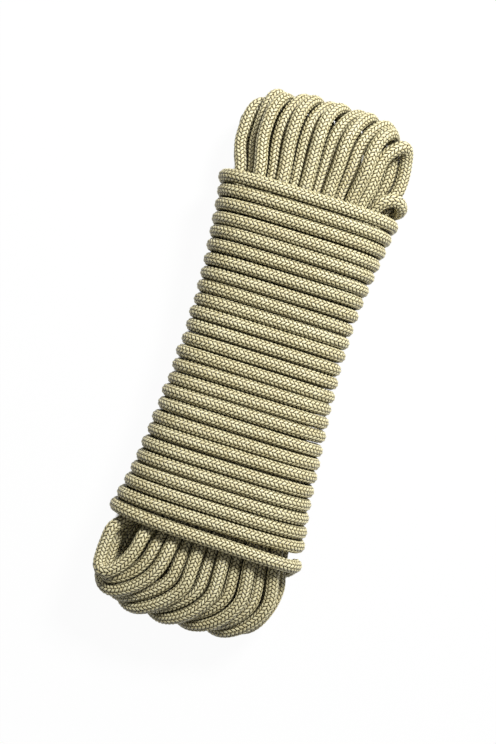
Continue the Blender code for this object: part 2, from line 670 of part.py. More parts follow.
def build():
    for thing in list(bpy.data.objects):
        bpy.data.objects.remove(thing, do_unlink=True)
    solids = rope_pieces()
    floor = solids["winding"][0][0][:, 2].min() + PRESSED_FLAT / ROPE_DIAMETER
    for (points, _), _ in solids.values():
        points[:, 2] = np.maximum(points[:, 2], floor)
    corners = np.vstack([solid[0] for solid, _ in solids.values()])
    low = corners.min(0)
    high = corners.max(0)
    base = np.array([(low[0] + high[0]) / 2, (low[1] + high[1]) / 2, floor])
    print("size, mm:", [round(size * ROPE_DIAMETER * 1000, 2) for size in high - low])
    print("base, in rope diameters:", [round(float(place), 5) for place in base])
    for name, ((points, faces), colour) in solids.items():
        mesh = bpy.data.meshes.new(name)
        places = (points - base) * ROPE_DIAMETER
        mesh.from_pydata([Vector(place) for place in places], [], faces)
        mesh.materials.append(make_material(name, colour))
        mesh.validate()
        mesh.update()
        bpy.context.scene.collection.objects.link(bpy.data.objects.new(name, mesh))


build()
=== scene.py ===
# %% [markdown]
# # A hank of braided rope
#
# One length of soft braided rope, ten millimetres thick, is put away as a hank. It runs up and down in
# fourteen long loops, turns over in a small bight at the top right, and then binds itself with a close
# winding from the top to the bottom. Its end is tucked back up under the last turns.
#
# The lesson works in the rope's own unit: one rope diameter. A hank is nothing but rope lying against
# rope, so every distance in it is a handful of diameters, and the numbers stay easy to read. They are
# turned into metres only when a mesh is made.

# %% Tools and the frame
import json
import math

import bpy
import numpy as np
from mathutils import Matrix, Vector
from mathutils.kdtree import KDTree

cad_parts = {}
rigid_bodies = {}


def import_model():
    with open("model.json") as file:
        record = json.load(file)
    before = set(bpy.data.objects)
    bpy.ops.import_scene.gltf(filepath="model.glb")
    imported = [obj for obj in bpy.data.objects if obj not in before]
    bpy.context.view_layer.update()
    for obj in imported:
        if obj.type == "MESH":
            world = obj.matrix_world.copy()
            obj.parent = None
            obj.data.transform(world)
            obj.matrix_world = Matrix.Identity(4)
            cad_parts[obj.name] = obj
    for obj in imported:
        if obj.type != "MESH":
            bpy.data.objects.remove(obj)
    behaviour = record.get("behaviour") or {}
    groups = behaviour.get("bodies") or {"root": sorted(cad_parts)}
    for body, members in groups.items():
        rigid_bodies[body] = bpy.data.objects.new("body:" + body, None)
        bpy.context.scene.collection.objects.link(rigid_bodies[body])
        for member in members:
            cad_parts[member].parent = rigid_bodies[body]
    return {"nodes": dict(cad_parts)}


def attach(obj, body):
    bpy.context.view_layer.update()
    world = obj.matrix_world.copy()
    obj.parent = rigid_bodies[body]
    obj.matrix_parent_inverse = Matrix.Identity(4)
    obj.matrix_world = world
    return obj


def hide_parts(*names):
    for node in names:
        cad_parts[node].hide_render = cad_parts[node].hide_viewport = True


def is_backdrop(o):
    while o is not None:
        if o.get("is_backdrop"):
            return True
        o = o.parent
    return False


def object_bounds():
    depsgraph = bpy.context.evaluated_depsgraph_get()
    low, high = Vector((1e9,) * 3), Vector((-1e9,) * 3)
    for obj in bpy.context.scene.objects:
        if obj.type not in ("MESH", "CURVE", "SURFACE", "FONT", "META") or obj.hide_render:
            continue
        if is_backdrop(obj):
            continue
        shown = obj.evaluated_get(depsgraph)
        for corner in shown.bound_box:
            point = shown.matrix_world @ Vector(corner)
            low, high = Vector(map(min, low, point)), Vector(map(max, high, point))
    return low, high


for thing in list(bpy.data.objects):
    bpy.data.objects.remove(thing, do_unlink=True)
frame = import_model()
cad_low, cad_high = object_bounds()
print("frame:", [round(v, 4) for v in cad_high - cad_low], "m;", len(frame["nodes"]), "nodes")

# %% [markdown]
# ## The camera
#
# The hank is seen from straight above, from a little over a metre, and it lies turned clockwise by
# 17.3 degrees. Turning the camera the other way is the same as turning the hank, and keeps the hank
# square to its own axes. The lens is worked out from one wish: at the height of the winding's upper
# side the view should take in 53 centimetres from top to bottom.

# %% Camera
ROPE = 0.010
SENSOR = 36
VIEW_HEIGHT = 0.53143
CAMERA_ABOVE = 1.15
HANK_TURN = math.radians(17.3)
AIM = (-0.0040, -0.0070)

camera = bpy.data.objects.new("camera", bpy.data.cameras.new("camera"))
bpy.context.scene.collection.objects.link(camera)
camera.data.sensor_width = SENSOR
camera.data.lens = SENSOR * CAMERA_ABOVE / VIEW_HEIGHT
camera.location = (AIM[0], AIM[1], cad_high.z + CAMERA_ABOVE)
camera.rotation_euler = (0, 0, HANK_TURN)
camera.data.clip_start = 0.05
camera.data.clip_end = 50
bpy.context.scene.camera = camera
print("lens:", round(camera.data.lens, 1), "mm")

# %% [markdown]
# ## The sizes of the hank
#
# A hank is measured the way a rope worker would: how many loops, how many turns, how long. The sizes
# could be written in metres, but counting in rope diameters shows at once what fits beside what. X runs
# across the hank, Y along it and Z up from the table. Places along the hank are measured from its
# middle. `TOP_EXIT` and `BOTTOM_EXIT` are where the loops come out of the winding; the winding is
# narrowest at `WAIST` and flares to both ends, because the bends of the loops push it open there.

# %% Sizes in rope diameters
LOOP_COUNT = 14
WINDING_TURNS = 26
HALF_HANK = 20.15
TOP_EXIT = 12.935
BOTTOM_EXIT = -13.435
WAIST = 2.8
WAIST_SPREAD = 0.695
TOP_SPREAD = 0.829
BOTTOM_SPREAD = 0.900
FLARE_POWER = 1.9
WAIST_DEPTH = 3.95
END_DEPTH = 6.10
DEPTH_REACH = 0.8
OVAL_POWER = 3.0
TOP_TURN = -1.1
BOTTOM_TURN = 3.4
CLOSE = 1.02
SLOT_COUNT = 2 * LOOP_COUNT + 2
OUTER_TAIL_SLOT = LOOP_COUNT
LAST_LEG_SLOT = LOOP_COUNT + 1
INNER_TAIL_SLOT = SLOT_COUNT - 1
TAIL_ROOM = 5.95
OUTER_TAIL_TOP = BOTTOM_EXIT + TAIL_ROOM
INNER_TAIL_BOTTOM = TOP_EXIT - TAIL_ROOM
END_LIMIT = END_DEPTH / 2 + 0.33
PITCH = (TOP_EXIT - BOTTOM_EXIT - 1) / (WINDING_TURNS - 1)
print("winding pitch:", round(PITCH, 3), "rope diameters")

# %% [markdown]
# ## The section of the winding
#
# Cut across, the wound part of the hank is a flattened oval. It could be an ellipse, but rope that is
# pulled tight over a bundle lies straighter on the wide sides and turns harder at the edges. So each
# turn is a superellipse: an ellipse whose sides are pressed straighter. Its half width and half depth
# change slowly along the hank. The strands stand inside it, and the packing works against its wall.


# %% Section of the winding
def ease(share):
    """3 s squared minus 2 s cubed, of a share held between 0 and 1: a slow start and a slow end."""
    share = np.clip(share, 0.0, 1.0)
    return share * share * (3 - 2 * share)


def half_section(y):
    """Half width and half depth inside the winding. The width grows by the distance from the waist
    to the FLARE_POWER, the depth by an eased share of it."""
    up = np.clip((y - WAIST) / (TOP_EXIT - WAIST), 0, None)
    down = np.clip((WAIST - y) / (WAIST - BOTTOM_EXIT), 0, None)
    width = WAIST_SPREAD + (TOP_SPREAD - WAIST_SPREAD) * up**FLARE_POWER
    width = width + (BOTTOM_SPREAD - WAIST_SPREAD) * down**FLARE_POWER
    depth = WAIST_DEPTH + (END_DEPTH - WAIST_DEPTH) * ease((up + down) / DEPTH_REACH)
    return width * LOOP_COUNT / 2, depth / 2


def oval_point(half_width, half_depth, angle):
    """A superellipse: each half size times the cosine or sine raised to two over OVAL_POWER. Angle 0
    is the left tip, a quarter turn the upper side, half a turn the right tip."""
    across, over = -np.cos(angle), np.sin(angle)
    x = half_width * np.sign(across) * np.abs(across) ** (2 / OVAL_POWER)
    z = half_depth * np.sign(over) * np.abs(over) ** (2 / OVAL_POWER)
    return x, z


def oval_outline(half_width, half_depth, count=720):
    """Points once round the superellipse, with the distance travelled at each."""
    x, z = oval_point(half_width, half_depth, np.linspace(0, 2 * math.pi, count + 1))
    return x, z, np.concatenate([[0], np.cumsum(np.hypot(np.diff(x), np.diff(z)))])


for place, y in (("top exit", TOP_EXIT), ("waist", WAIST), ("bottom exit", BOTTOM_EXIT)):
    print("half section at the", place, np.round(half_section(y), 2))

# %% [markdown]
# ## Packing the strands
#
# Inside the winding about twenty-eight strands lie side by side. They could be placed by hand, but
# they would cut into each other where the bundle narrows. Instead they start on a flattened ring,
# alternately a step in and a step out, and are then pushed apart in every section at once until none
# overlaps its neighbour or the wall. A little smoothing along the hank keeps each strand straight.


# %% Packing
def ring_of_slots(y, turn):
    """Places evenly round a flattened ring, stepped in and out by half the root of one minus the
    squared gap, so that neighbours stay one diameter apart."""
    half_width, half_depth = (half - 0.5 for half in half_section(y))
    step = 0.3
    for _ in range(30):
        x, z, travelled = oval_outline(half_width - step, half_depth - step)
        gap = travelled[-1] / SLOT_COUNT
        step = 0.5 * step + 0.25 * math.sqrt(max(0.0, 1 - gap * gap))
    along = ((np.arange(SLOT_COUNT) + turn) * gap) % travelled[-1]
    x, z = np.interp(along, travelled, x), np.interp(along, travelled, z)
    out_x = np.sign(x) * np.abs(x / half_width) ** (OVAL_POWER - 1) / half_width
    out_z = np.sign(z) * np.abs(z / half_depth) ** (OVAL_POWER - 1) / half_depth
    outward = np.stack([out_x, out_z], 1) / np.hypot(out_x, out_z)[:, None]
    in_or_out = step * (1 - 2 * (np.arange(SLOT_COUNT) % 2))
    return np.stack([x, z], 1) + outward * in_or_out[:, None]


def pack_bundle(heights, rounds=300):
    """Strand centres (section, slot, 2). Each round adds, for every pair closer than CLOSE, a push
    along the line between them, and a push off the wall, and then evens the strands along the hank."""
    share = (heights - BOTTOM_EXIT) / (TOP_EXIT - BOTTOM_EXIT)
    turns = BOTTOM_TURN + (TOP_TURN - BOTTOM_TURN) * share
    places = np.stack([ring_of_slots(y, turn) for y, turn in zip(heights, turns)])
    filled = np.ones(places.shape[:2], bool)
    filled[:, OUTER_TAIL_SLOT] = heights < OUTER_TAIL_TOP
    filled[:, INNER_TAIL_SLOT] = heights > INNER_TAIL_BOTTOM
    both = filled[:, :, None] & filled[:, None, :] & ~np.eye(SLOT_COUNT, dtype=bool)[None]
    outer = [np.add(half_section(y), 0.5) for y in heights]
    walls = np.stack([np.stack(oval_outline(w, d, 120)[:2], 1) for w, d in outer])
    for _ in range(rounds):
        apart = places[:, :, None] - places[:, None]
        distance = np.sqrt((apart**2).sum(-1)) + 1e-9
        overlap = np.where(both, np.clip(CLOSE - distance, 0, None), 0)
        move = (apart / distance[..., None] * overlap[..., None]).sum(2) * 0.45
        off_wall = places[:, :, None] - walls[:, None]
        distance = np.sqrt((off_wall**2).sum(-1))
        nearest = distance.argmin(2)[..., None]
        distance = np.take_along_axis(distance, nearest, 2)
        inward = np.take_along_axis(off_wall, nearest[..., None], 2)[:, :, 0] / distance
        places = places + move + inward * np.clip(CLOSE - distance, 0, None) * 0.7
        places[1:-1] = places[1:-1] + ((places[:-2] + places[2:]) / 2 - places[1:-1]) / 8
    return places


SECTION_COUNT = 28
heights = np.linspace(BOTTOM_EXIT, TOP_EXIT, SECTION_COUNT)
bundle = pack_bundle(heights)
middle = bundle[SECTION_COUNT // 2]
apart = np.linalg.norm(middle[:, None] - middle[None], axis=-1) + 9 * np.eye(SLOT_COUNT)
present = [k for k in range(SLOT_COUNT) if k not in (OUTER_TAIL_SLOT, INNER_TAIL_SLOT)]
print("closest strands in the middle section:", round(float(apart[np.ix_(present, present)].min()), 3))

# %% [markdown]
# ## Routes
#
# Rope has no shape of its own, only a route. A route could be a Blender curve, but here strands have to
# push each other aside, and that is easiest with plain rows of points that the middle of the rope
# follows. A few small tools are enough: even points along a route, the strand of one slot between two
# heights, and a smooth curve between two places with a given direction at each.


# %% Route tools
def travelled_along(route):
    """Length travelled at each point."""
    return np.concatenate([[0], np.cumsum(np.linalg.norm(np.diff(route, axis=0), axis=1))])


def even_points(route, spacing):
    """The same route with evenly spaced points."""
    travelled = travelled_along(route)
    at = np.linspace(0, travelled[-1], max(4, int(round(travelled[-1] / spacing)) + 1))
    return np.stack([np.interp(at, travelled, route[:, axis]) for axis in range(3)], 1)


def leg_points(slot, y):
    """One slot's strand at the given heights."""
    y = np.atleast_1d(y)
    x = np.interp(y, heights, bundle[:, slot, 0])
    z = np.interp(y, heights, bundle[:, slot, 1])
    return np.stack([x, y, z], 1)


def arc_between(start, start_pull, end, end_pull, count=40):
    """A cubic Hermite curve: both ends weighted by 2t cubed minus 3t squared, both pulls by cubics
    that vanish at the ends."""
    t = np.linspace(0, 1, count)[:, None]
    weight = 2 * t**3 - 3 * t**2 + 1
    places = weight * start + (1 - weight) * end
    return places + (t**3 - 2 * t**2 + t) * start_pull + (t**3 - t**2) * end_pull


# %% [markdown]
# ## The winding
#
# The winding binds the loops together: twenty-six turns, each lying against the last. A plain helix
# would slant every turn. On a hank wound by machine the upper passes run square across and the step to
# the next turn happens on the underside, so the height here drops only in the second half of each
# turn. The underside is a little flat, because the rope lies on it. The last turn slants down to the
# right, where it is tucked away. A little unevenness comes last, since no two turns are pulled alike.

# %% The winding's route
WINDING_SEAT = 0.55
LEVEL_SHARE = 0.975
WINDING_START = 0.625
WINDING_LEFT_OFF = 0.5
LAST_TURN_DROP = 0.45
TURN_POINTS = 160
HEIGHT_UNEVEN, WIDTH_UNEVEN, UNEVEN_LIMIT = 0.035, 0.006, 0.05


def winding_point(turns):
    """Whole turns are at the left tip. The height drops by one pitch, eased, in the second half of
    each turn; the section is the superellipse at that height, clamped on its underside."""
    whole = np.floor(turns)
    y = TOP_EXIT - 0.5 - PITCH * (whole + ease((turns - whole) * 2 - 1))
    y = y - LAST_TURN_DROP * ease((turns - WINDING_TURNS + 1) * 2)
    half_width, half_depth = half_section(np.clip(y, BOTTOM_EXIT, TOP_EXIT))
    x, z = oval_point(half_width + WINDING_SEAT, half_depth + WINDING_SEAT, 2 * math.pi * turns)
    return np.stack([x, y, np.maximum(z, -LEVEL_SHARE * (half_depth + WINDING_SEAT))], -1)


turns = np.arange(WINDING_START - 1, WINDING_TURNS - WINDING_LEFT_OFF + 1e-6, 1 / TURN_POINTS)
wound = winding_point(turns)
by_hand = np.random.default_rng(4)
half_turns, whole_turns = np.arange(-1, WINDING_TURNS + 1, 0.5), np.arange(-1, WINDING_TURNS + 1)
shifted = np.interp(turns, half_turns, by_hand.normal(0, HEIGHT_UNEVEN, len(half_turns)))
widened = np.interp(turns, whole_turns, by_hand.normal(0, WIDTH_UNEVEN, len(whole_turns)))
away_from_ends = ease((WINDING_TURNS - 2 - turns) / 2) * ease(turns / 2)
wound[:, 0] *= 1 + widened
wound[:, 1] += np.clip(shifted, -UNEVEN_LIMIT, UNEVEN_LIMIT) * away_from_ends
winding = even_points(wound, 0.2)
winding_turn = np.interp(travelled_along(winding), travelled_along(wound), turns)
print("rope in the winding:", round(travelled_along(winding)[-1] * ROPE, 2), "m")

# %% [markdown]
# ## The loops' ends
#
# Past the winding each loop spreads a little, goes over its crest and comes back in the layer below.
# A half circle would do for one loop alone. In a hank the crests lean over, because each front leg
# returns in a slot further left, and at the bottom the first loop stands open. So a bend is two eased
# legs and half an ellipse whose crest can be set to one side.

# %% One bend, and the ends that belong to it
BEND_ROUND = 3.2
TOP_WIDENING, BOTTOM_WIDENING = 0.13, 0.10
HELD_LEG = 1.5
TOP_FALL, TOP_FALL_POWER = 0.010, 3
BOTTOM_FALL, BOTTOM_FALL_POWER, BOTTOM_EDGE = 2.3, 5.3, 5.9
TOP_RISE, BOTTOM_RISE = 0.16, -0.112
TOP_LEAN, TOP_END_LEAN, LEANING_LOOPS = 0.36, 0.50, 9
BOTTOM_LEAN = 0.55
SWEPT_LOOPS, BOTTOM_SWEEP = (0, 2, 9, 13), (-0.6, -1.1, -0.7, -0.1)
OPEN_LOOPS, OPEN_LEG = (0, 1, 2), (-0.45, -0.15, 0.0)


def bend(front, back, exit_height, side, lean, rise, sweep=0.0, stand_off=0.0):
    """Legs that ease outward, then half an ellipse: y by the sine, z and x by one minus the cosine
    over two, with x to the power that puts the crest at the share called lean, and then swept aside by
    the sine squared. Loops near the edges reach less far, by a power of their crest's place."""
    crest_x = front[0] * 1.1 + 0.5 * (back[0] - front[0]) + sweep
    if side > 0:
        fall, widening = TOP_FALL * abs(crest_x) ** TOP_FALL_POWER, TOP_WIDENING
    else:
        fall = BOTTOM_FALL * (abs(crest_x) / BOTTOM_EDGE) ** BOTTOM_FALL_POWER
        widening = BOTTOM_WIDENING
    reach = HALF_HANK - 0.5 - abs(exit_height) - fall
    round_part = min(BEND_ROUND, reach - 0.5)
    wide_front = front + np.array([front[0] * widening, rise * front[0] + 0.15])
    wide_back = back + np.array([back[0] * widening + stand_off, rise * back[0] - 0.15])
    share = np.linspace(0, 1, 12)[:, None]
    up = front + (wide_front - front) * ease(share)
    down = back + (wide_back - back) * ease(share)
    leg_y = share[:, 0] * (reach - round_part)
    angle = np.linspace(0, math.pi, 22)[1:-1]
    over = ((1 - np.cos(angle)) / 2)[:, None]
    leaning = over ** (math.log(lean) / math.log(0.5))
    crest = wide_front + (wide_back - wide_front) * np.hstack([leaning, over])
    crest[:, 0] += sweep * np.sin(angle) ** 2
    crest_y = reach - round_part + round_part * np.sin(angle)
    flat = np.concatenate([up, crest, down[::-1]])
    y = exit_height + side * np.concatenate([leg_y, crest_y, leg_y[::-1]])
    return np.stack([flat[:, 0], y, flat[:, 1]], 1)


def bend_stretch(front_slot, back_slot, side):
    """A bend with a short held length of both its legs."""
    at = -1 if side > 0 else 0
    exit_height = heights[at]
    inside = np.linspace(exit_height - side * HELD_LEG, exit_height, 5)
    up, down = leg_points(front_slot, inside), leg_points(back_slot, inside[::-1])
    legs = bundle[at, front_slot], bundle[at, back_slot]
    if side > 0:
        lean = TOP_LEAN if front_slot < LEANING_LOOPS else TOP_END_LEAN
        rise = TOP_RISE if front_slot < LOOP_COUNT - 1 else 0.0
        over = bend(*legs, exit_height, side, lean, rise)
    else:
        sweep = np.interp(front_slot, SWEPT_LOOPS, BOTTOM_SWEEP)
        stand_off = np.interp(front_slot, OPEN_LOOPS, OPEN_LEG)
        over = bend(*legs, exit_height, side, BOTTOM_LEAN, BOTTOM_RISE, sweep, stand_off)
    return np.concatenate([up[:-1], over, down[1:]]), travelled_along(up)[-1], travelled_along(down)[-1]


middle_bend = bend_stretch(7, SLOT_COUNT - 8, 1)[0]
print("rope in a middle bend:", round(float(travelled_along(middle_bend)[-1] * ROPE * 1000)), "mm")

# %% [markdown]
# ## The small bight and the tuck
#
# Two places don't follow the pattern. At the top right the rope comes up its last leg, turns over in a
# small bight in front of the last loop and dives into the winding. At the bottom right the winding's
# end curls round the corner and goes back up inside. Both could be drawn point by point, but a Hermite
# curve needs only a crest and a few directions, and it leaves each leg smoothly.

# %% The small bight and the tuck
BIGHT_CREST = np.array([6.0, TOP_EXIT + 1.515, 1.2])
BIGHT_UP, BIGHT_OVER = np.array([0.3, 2.6, 1.6]), np.array([1.5, 0.2, -1.2])
BIGHT_DOWN, BIGHT_INTO = np.array([2.2, -1.6, -2.4]), 3.0
CURL_CREST = np.array([6.1, BOTTOM_EXIT - 1.065, -1.9])
CURL_LEAVE, CURL_OVER, CURL_UP = 2.1, np.array([-2.1, -0.3, -0.3]), np.array([0.0, 2.4, 0.0])


def bight_stretch(first_turns):
    """Two Hermite curves from the last leg over the crest into the winding's first turns, which are
    held."""
    up = leg_points(LAST_LEG_SLOT, np.linspace(TOP_EXIT - HELD_LEG, TOP_EXIT, 5))
    into = first_turns[1] - first_turns[0]
    into = into / np.linalg.norm(into) * BIGHT_INTO
    first = arc_between(up[-1], BIGHT_UP, BIGHT_CREST, BIGHT_OVER)
    second = arc_between(BIGHT_CREST, BIGHT_DOWN, first_turns[0], into)
    route = np.concatenate([up[:-1], first, second[1:], first_turns[1:]])
    return route, travelled_along(up)[-1], travelled_along(first_turns)[-1]


def curl_stretch(last_turns):
    """Two Hermite curves from the winding's end round the corner and up into the tail's slot."""
    up = leg_points(OUTER_TAIL_SLOT, np.linspace(BOTTOM_EXIT, BOTTOM_EXIT + HELD_LEG, 5))
    leave = last_turns[-1] - last_turns[-2]
    leave = leave / np.linalg.norm(leave) * CURL_LEAVE
    first = arc_between(last_turns[-1], leave, CURL_CREST, CURL_OVER)
    second = arc_between(CURL_CREST, CURL_OVER, up[0], CURL_UP)
    route = np.concatenate([last_turns[:-1], first, second[1:], up[1:]])
    return route, travelled_along(last_turns)[-1], travelled_along(up)[-1]


first_turns = winding[winding_turn < WINDING_START + 0.8]
last_turns = winding[winding_turn > WINDING_TURNS - WINDING_LEFT_OFF - 1.1]
tops = [bend_stretch(k, SLOT_COUNT - 1 - k, 1) for k in range(LOOP_COUNT)] + [bight_stretch(first_turns)]
bottoms = [bend_stretch(k, SLOT_COUNT - 2 - k, -1) for k in range(LOOP_COUNT)]
bottoms += [curl_stretch(last_turns)]
print("stretches at the top and the bottom:", len(tops), len(bottoms))

# %% [markdown]
# ## Letting the bends settle
#
# Neighbouring bends cross on their way, so their first shapes cut into each other. A cloth or rope
# simulation could sort them out, but it is slow and hard to steer. `settle` only lets them push each
# other aside, a little at a time and smoothly along each strand, until they just touch. It is the same
# idea as the packing, but along whole strands in space.


# %% Settling crossing strands
FINE_STEP = 0.42
OWN_REACH = 2.9
NEAR_MARGIN = 0.45


def settle(stretches, rounds=200):
    """Each round: pairs of points closer than CLOSE push each other apart by half their overlap,
    the pushes are averaged along each strand, its kinks are evened, and each point gives back a
    hundredth of its shift. Held legs stay where they are."""
    routes = [even_points(route, FINE_STEP) for route, _, _ in stretches]
    starts = np.cumsum([0] + [len(route) for route in routes])
    points = np.concatenate(routes)
    owner = np.repeat(np.arange(len(routes)), np.diff(starts))
    run = np.concatenate([travelled_along(route) for route in routes])
    left = np.concatenate([travelled_along(route)[-1] - travelled_along(route) for route in routes])
    held_start, held_end = np.array([[start, end] for _, start, end in stretches])[owner].T
    free = np.clip(np.minimum(run - held_start, left - held_end) / (3 * FINE_STEP), 0, 1)[:, None]
    beside = (owner[:, None] == owner[None]) & (np.abs(run[:, None] - run[None]) < OWN_REACH)
    tested = np.triu(~beside, 1) & ((free > 0) | (free.T > 0))
    home = points.copy()
    for turn in range(rounds):
        if turn % 8 == 0:
            size = (points**2).sum(1)
            squared = size[:, None] + size[None] - 2 * points @ points.T
            one, other = np.nonzero((squared < (CLOSE + NEAR_MARGIN) ** 2) & tested)
        gap = points[one] - points[other]
        distance = np.linalg.norm(gap, axis=1) + 1e-9
        overlap = np.clip(CLOSE - distance, 0, None)
        push = gap / distance[:, None] * overlap[:, None] / 2
        move, touches = np.zeros_like(points), np.zeros(len(points))
        for index, sign in ((one, 1), (other, -1)):
            np.add.at(move, index, sign * push)
            np.add.at(touches, index, overlap > 0)
        move = move / np.maximum(touches, 1)[:, None] ** 0.6
        shift = points - home
        for first, end in zip(starts, starts[1:]):
            spread = move[first:end]
            for _ in range(3):
                spread[1:-1] = (spread[:-2] + 2 * spread[1:-1] + spread[2:]) / 4
            own, bent, kink = shift[first:end], np.zeros_like(spread), np.zeros_like(spread)
            bent[1:-1] = (own[:-2] + own[2:]) / 2 - own[1:-1]
            kink[2:-2] = (bent[1:-3] + bent[3:-1]) / 2 - bent[2:-2]
            move[first:end] = spread * 1.6 - kink * 0.35
        points = points + (move - 0.01 * shift) * free
        within = np.clip(points[:, 2], -END_LIMIT, END_LIMIT)
        points[:, 2] = np.where(free[:, 0] > 0, within, points[:, 2])
    return [points[first:end] for first, end in zip(starts, starts[1:])]


def between(route, start, end):
    """The part of a route from one travelled length to another."""
    travelled = travelled_along(route)
    ends = np.stack([np.interp((start, end), travelled, route[:, axis]) for axis in range(3)], 1)
    return np.vstack([ends[:1], route[(travelled > start) & (travelled < end)], ends[1:]])


ends = []
for stretches in (tops, bottoms):
    settled = zip(settle(stretches), stretches)
    ends.append([between(r, held, travelled_along(r)[-1] - left) for r, (_, held, left) in settled])
print("bends settled:", [len(end) for end in ends])

# %% [markdown]
# ## One line from end to end
#
# The rope is one length. Each bend and leg could get a tube of its own, but then the braid would break
# at every joint. So it is one line here too: up from its inner end, over the first bend, down a front
# leg, over a bottom bend, up a back leg, and so on fourteen times, then the small bight, the winding
# and the tuck. Where the joined line bends tighter than rope can, the bend is spread over its
# neighbours, and a last smoothing hides the joints. Everything that is laid on the line later, sheath,
# core and pattern, counts from its first point.
#
# A soft hank never lies quite straight, so the whole line is shifted a little to the right, most of all
# below its middle.

# %% The whole line
FLOAT_PITCH = 0.325
RINGS_PER_FLOAT = 6
RING_STEP = FLOAT_PITCH / RINGS_PER_FLOAT
TAIL_LENGTH = 5.03
TIGHTEST_BEND = 0.75
COARSE_STEP = 0.2
WIDER = 1.02
SHIFT_PLACES = (-20, -16, -14, -11, -6, 0, 5, 12, 20)
SHIFTS_TO_RIGHT = (0.10, 0.0, 0.08, 0.22, 0.24, 0.14, 0.08, 0.10, 0.0)
BASE = np.array([-0.0295, -0.114, -3.96])

inner_leg = leg_points(INNER_TAIL_SLOT, np.linspace(TOP_EXIT - TAIL_LENGTH, TOP_EXIT, 9))
outer_leg = leg_points(OUTER_TAIL_SLOT, np.linspace(BOTTOM_EXIT, BOTTOM_EXIT + TAIL_LENGTH, 9))
stretches = [("inner_tail", inner_leg)]
for k in range(LOOP_COUNT):
    stretches.append((f"top_{k}", ends[0][k][::-1]))
    stretches.append((f"down_{k}", leg_points(k, heights[::-1])))
    stretches.append((f"bottom_{k}", ends[1][k]))
    stretches.append((f"up_{k}", leg_points(SLOT_COUNT - 2 - k, heights)))
stretches += [("bight", ends[0][LOOP_COUNT]), ("winding", winding), ("tuck", ends[1][LOOP_COUNT])]
stretches.append(("outer_tail", outer_leg))
joined = np.vstack([route[:-1] for _, route in stretches] + [outer_leg[-1:]])
coarse = even_points(joined, COARSE_STEP)
as_joined = np.linspace(0, travelled_along(joined)[-1], len(coarse))
for _ in range(600):
    bent = (coarse[:-2] + coarse[2:]) / 2 - coarse[1:-1]
    amount = np.linalg.norm(bent, axis=1)[:, None] + 1e-12
    too_much = np.clip(amount - COARSE_STEP**2 / (2 * TIGHTEST_BEND), 0, None)
    coarse[1:-1] += bent / amount * too_much / 2
line = even_points(coarse, RING_STEP)
as_coarse = np.linspace(0, travelled_along(coarse)[-1], len(line))
for _ in range(40):
    line[1:-1] = (line[:-2] + 2 * line[1:-1] + line[2:]) / 4
line[:, 0] = line[:, 0] * WIDER + np.interp(line[:, 1], SHIFT_PLACES, SHIFTS_TO_RIGHT)
print("points on the line:", len(line))

# %% Where each stretch starts
lengths = np.array([travelled_along(route)[-1] for _, route in stretches])
first_places = np.concatenate([[0], np.cumsum(lengths)[:-1]])
first_places = np.interp(first_places, as_joined, travelled_along(coarse))
first_places = np.interp(first_places, as_coarse, travelled_along(line))
starts = dict(zip([name for name, _ in stretches], first_places))
line = even_points(line, RING_STEP) - BASE
print("rope length:", round(travelled_along(line)[-1] * ROPE, 3), "m in", len(line), "rings")


# %% The closest strands
OWN_LENGTH = 3.0


def tree_of(points):
    """A search tree over a row of points."""
    tree = KDTree(len(points))
    for number, point in enumerate(points):
        tree.insert(point, number)
    tree.balance()
    return tree


tree = tree_of(line[::4])
closest = 1.0
for number, point in enumerate(line[::16]):
    for _, other, distance in tree.find_range(point, closest):
        if abs(other - 4 * number) > OWN_LENGTH / RING_STEP / 4:
            closest = min(closest, distance)
print("closest strands:", round(closest, 3), "rope diameters")

# %% [markdown]
# ## A frame that doesn't spin
#
# The braid lies on the rope like a skin, so the skin has to know which way it is turned at every ring.
# A tube needs two directions square to its line. Taken from a fixed direction they would flip where
# the rope turns over a bend. Here each ring keeps the last ring's direction as nearly as it can, and a
# slow random twist is added, because rope is never wound without a little twist in it.


# %% Frames along the line
TWIST, TWIST_EVERY = 0.35, 400


def carried_frames(route, seed, every=8):
    """Side and normal at each ring. The side is carried from ring to ring, less its part along the
    line, then turned by a smooth random angle."""
    step = np.gradient(route, axis=0)
    along = step / np.linalg.norm(step, axis=1)[:, None]
    coarse = list(range(0, len(route), every)) + [len(route) - 1]
    side = np.array([1.0, 0.0, 0.0])
    carried = []
    for index in coarse:
        side = side - along[index] * side.dot(along[index])
        side = side / np.linalg.norm(side)
        carried.append(side)
    at = np.arange(len(route))
    side = np.stack([np.interp(at, coarse, np.array(carried)[:, axis]) for axis in range(3)], 1)
    side = side - along * (side * along).sum(1)[:, None]
    side = side / np.linalg.norm(side, axis=1)[:, None]
    normal = np.cross(along, side)
    random = np.random.default_rng(seed)
    knots = np.arange(0, len(route) + TWIST_EVERY, TWIST_EVERY)
    twist = np.interp(at, knots, np.cumsum(random.normal(0, TWIST, len(knots))))
    turn_side = side * np.cos(twist)[:, None] + normal * np.sin(twist)[:, None]
    return along, turn_side, np.cross(along, turn_side)


along, side, normal = carried_frames(line, 7)
turn = np.arccos(np.clip((along[1:] * along[:-1]).sum(1), -1, 1))
print("tightest bend:", round(RING_STEP * ROPE * 1000 / float(turn.max()), 1), "mm")

# %% [markdown]
# ## Where the rope touches itself
#
# Shade gathers in the creases between strands, and the eye reads a hank by those dark lines. The
# shadows alone could draw them, but soft light washes them out, so the shade is painted into the
# colour. It is marked from the line itself: wherever another stretch runs close by, the sheath gets a
# mark on the side that faces it. The marks are kept as one number at each corner of the sheath, which
# the material turns into painted shade.


# %% Creases
SIDES = 30
CREASE_EVERY = 6
CREASE_REACH = 1.35
CREASE_WIDTH = math.radians(21)


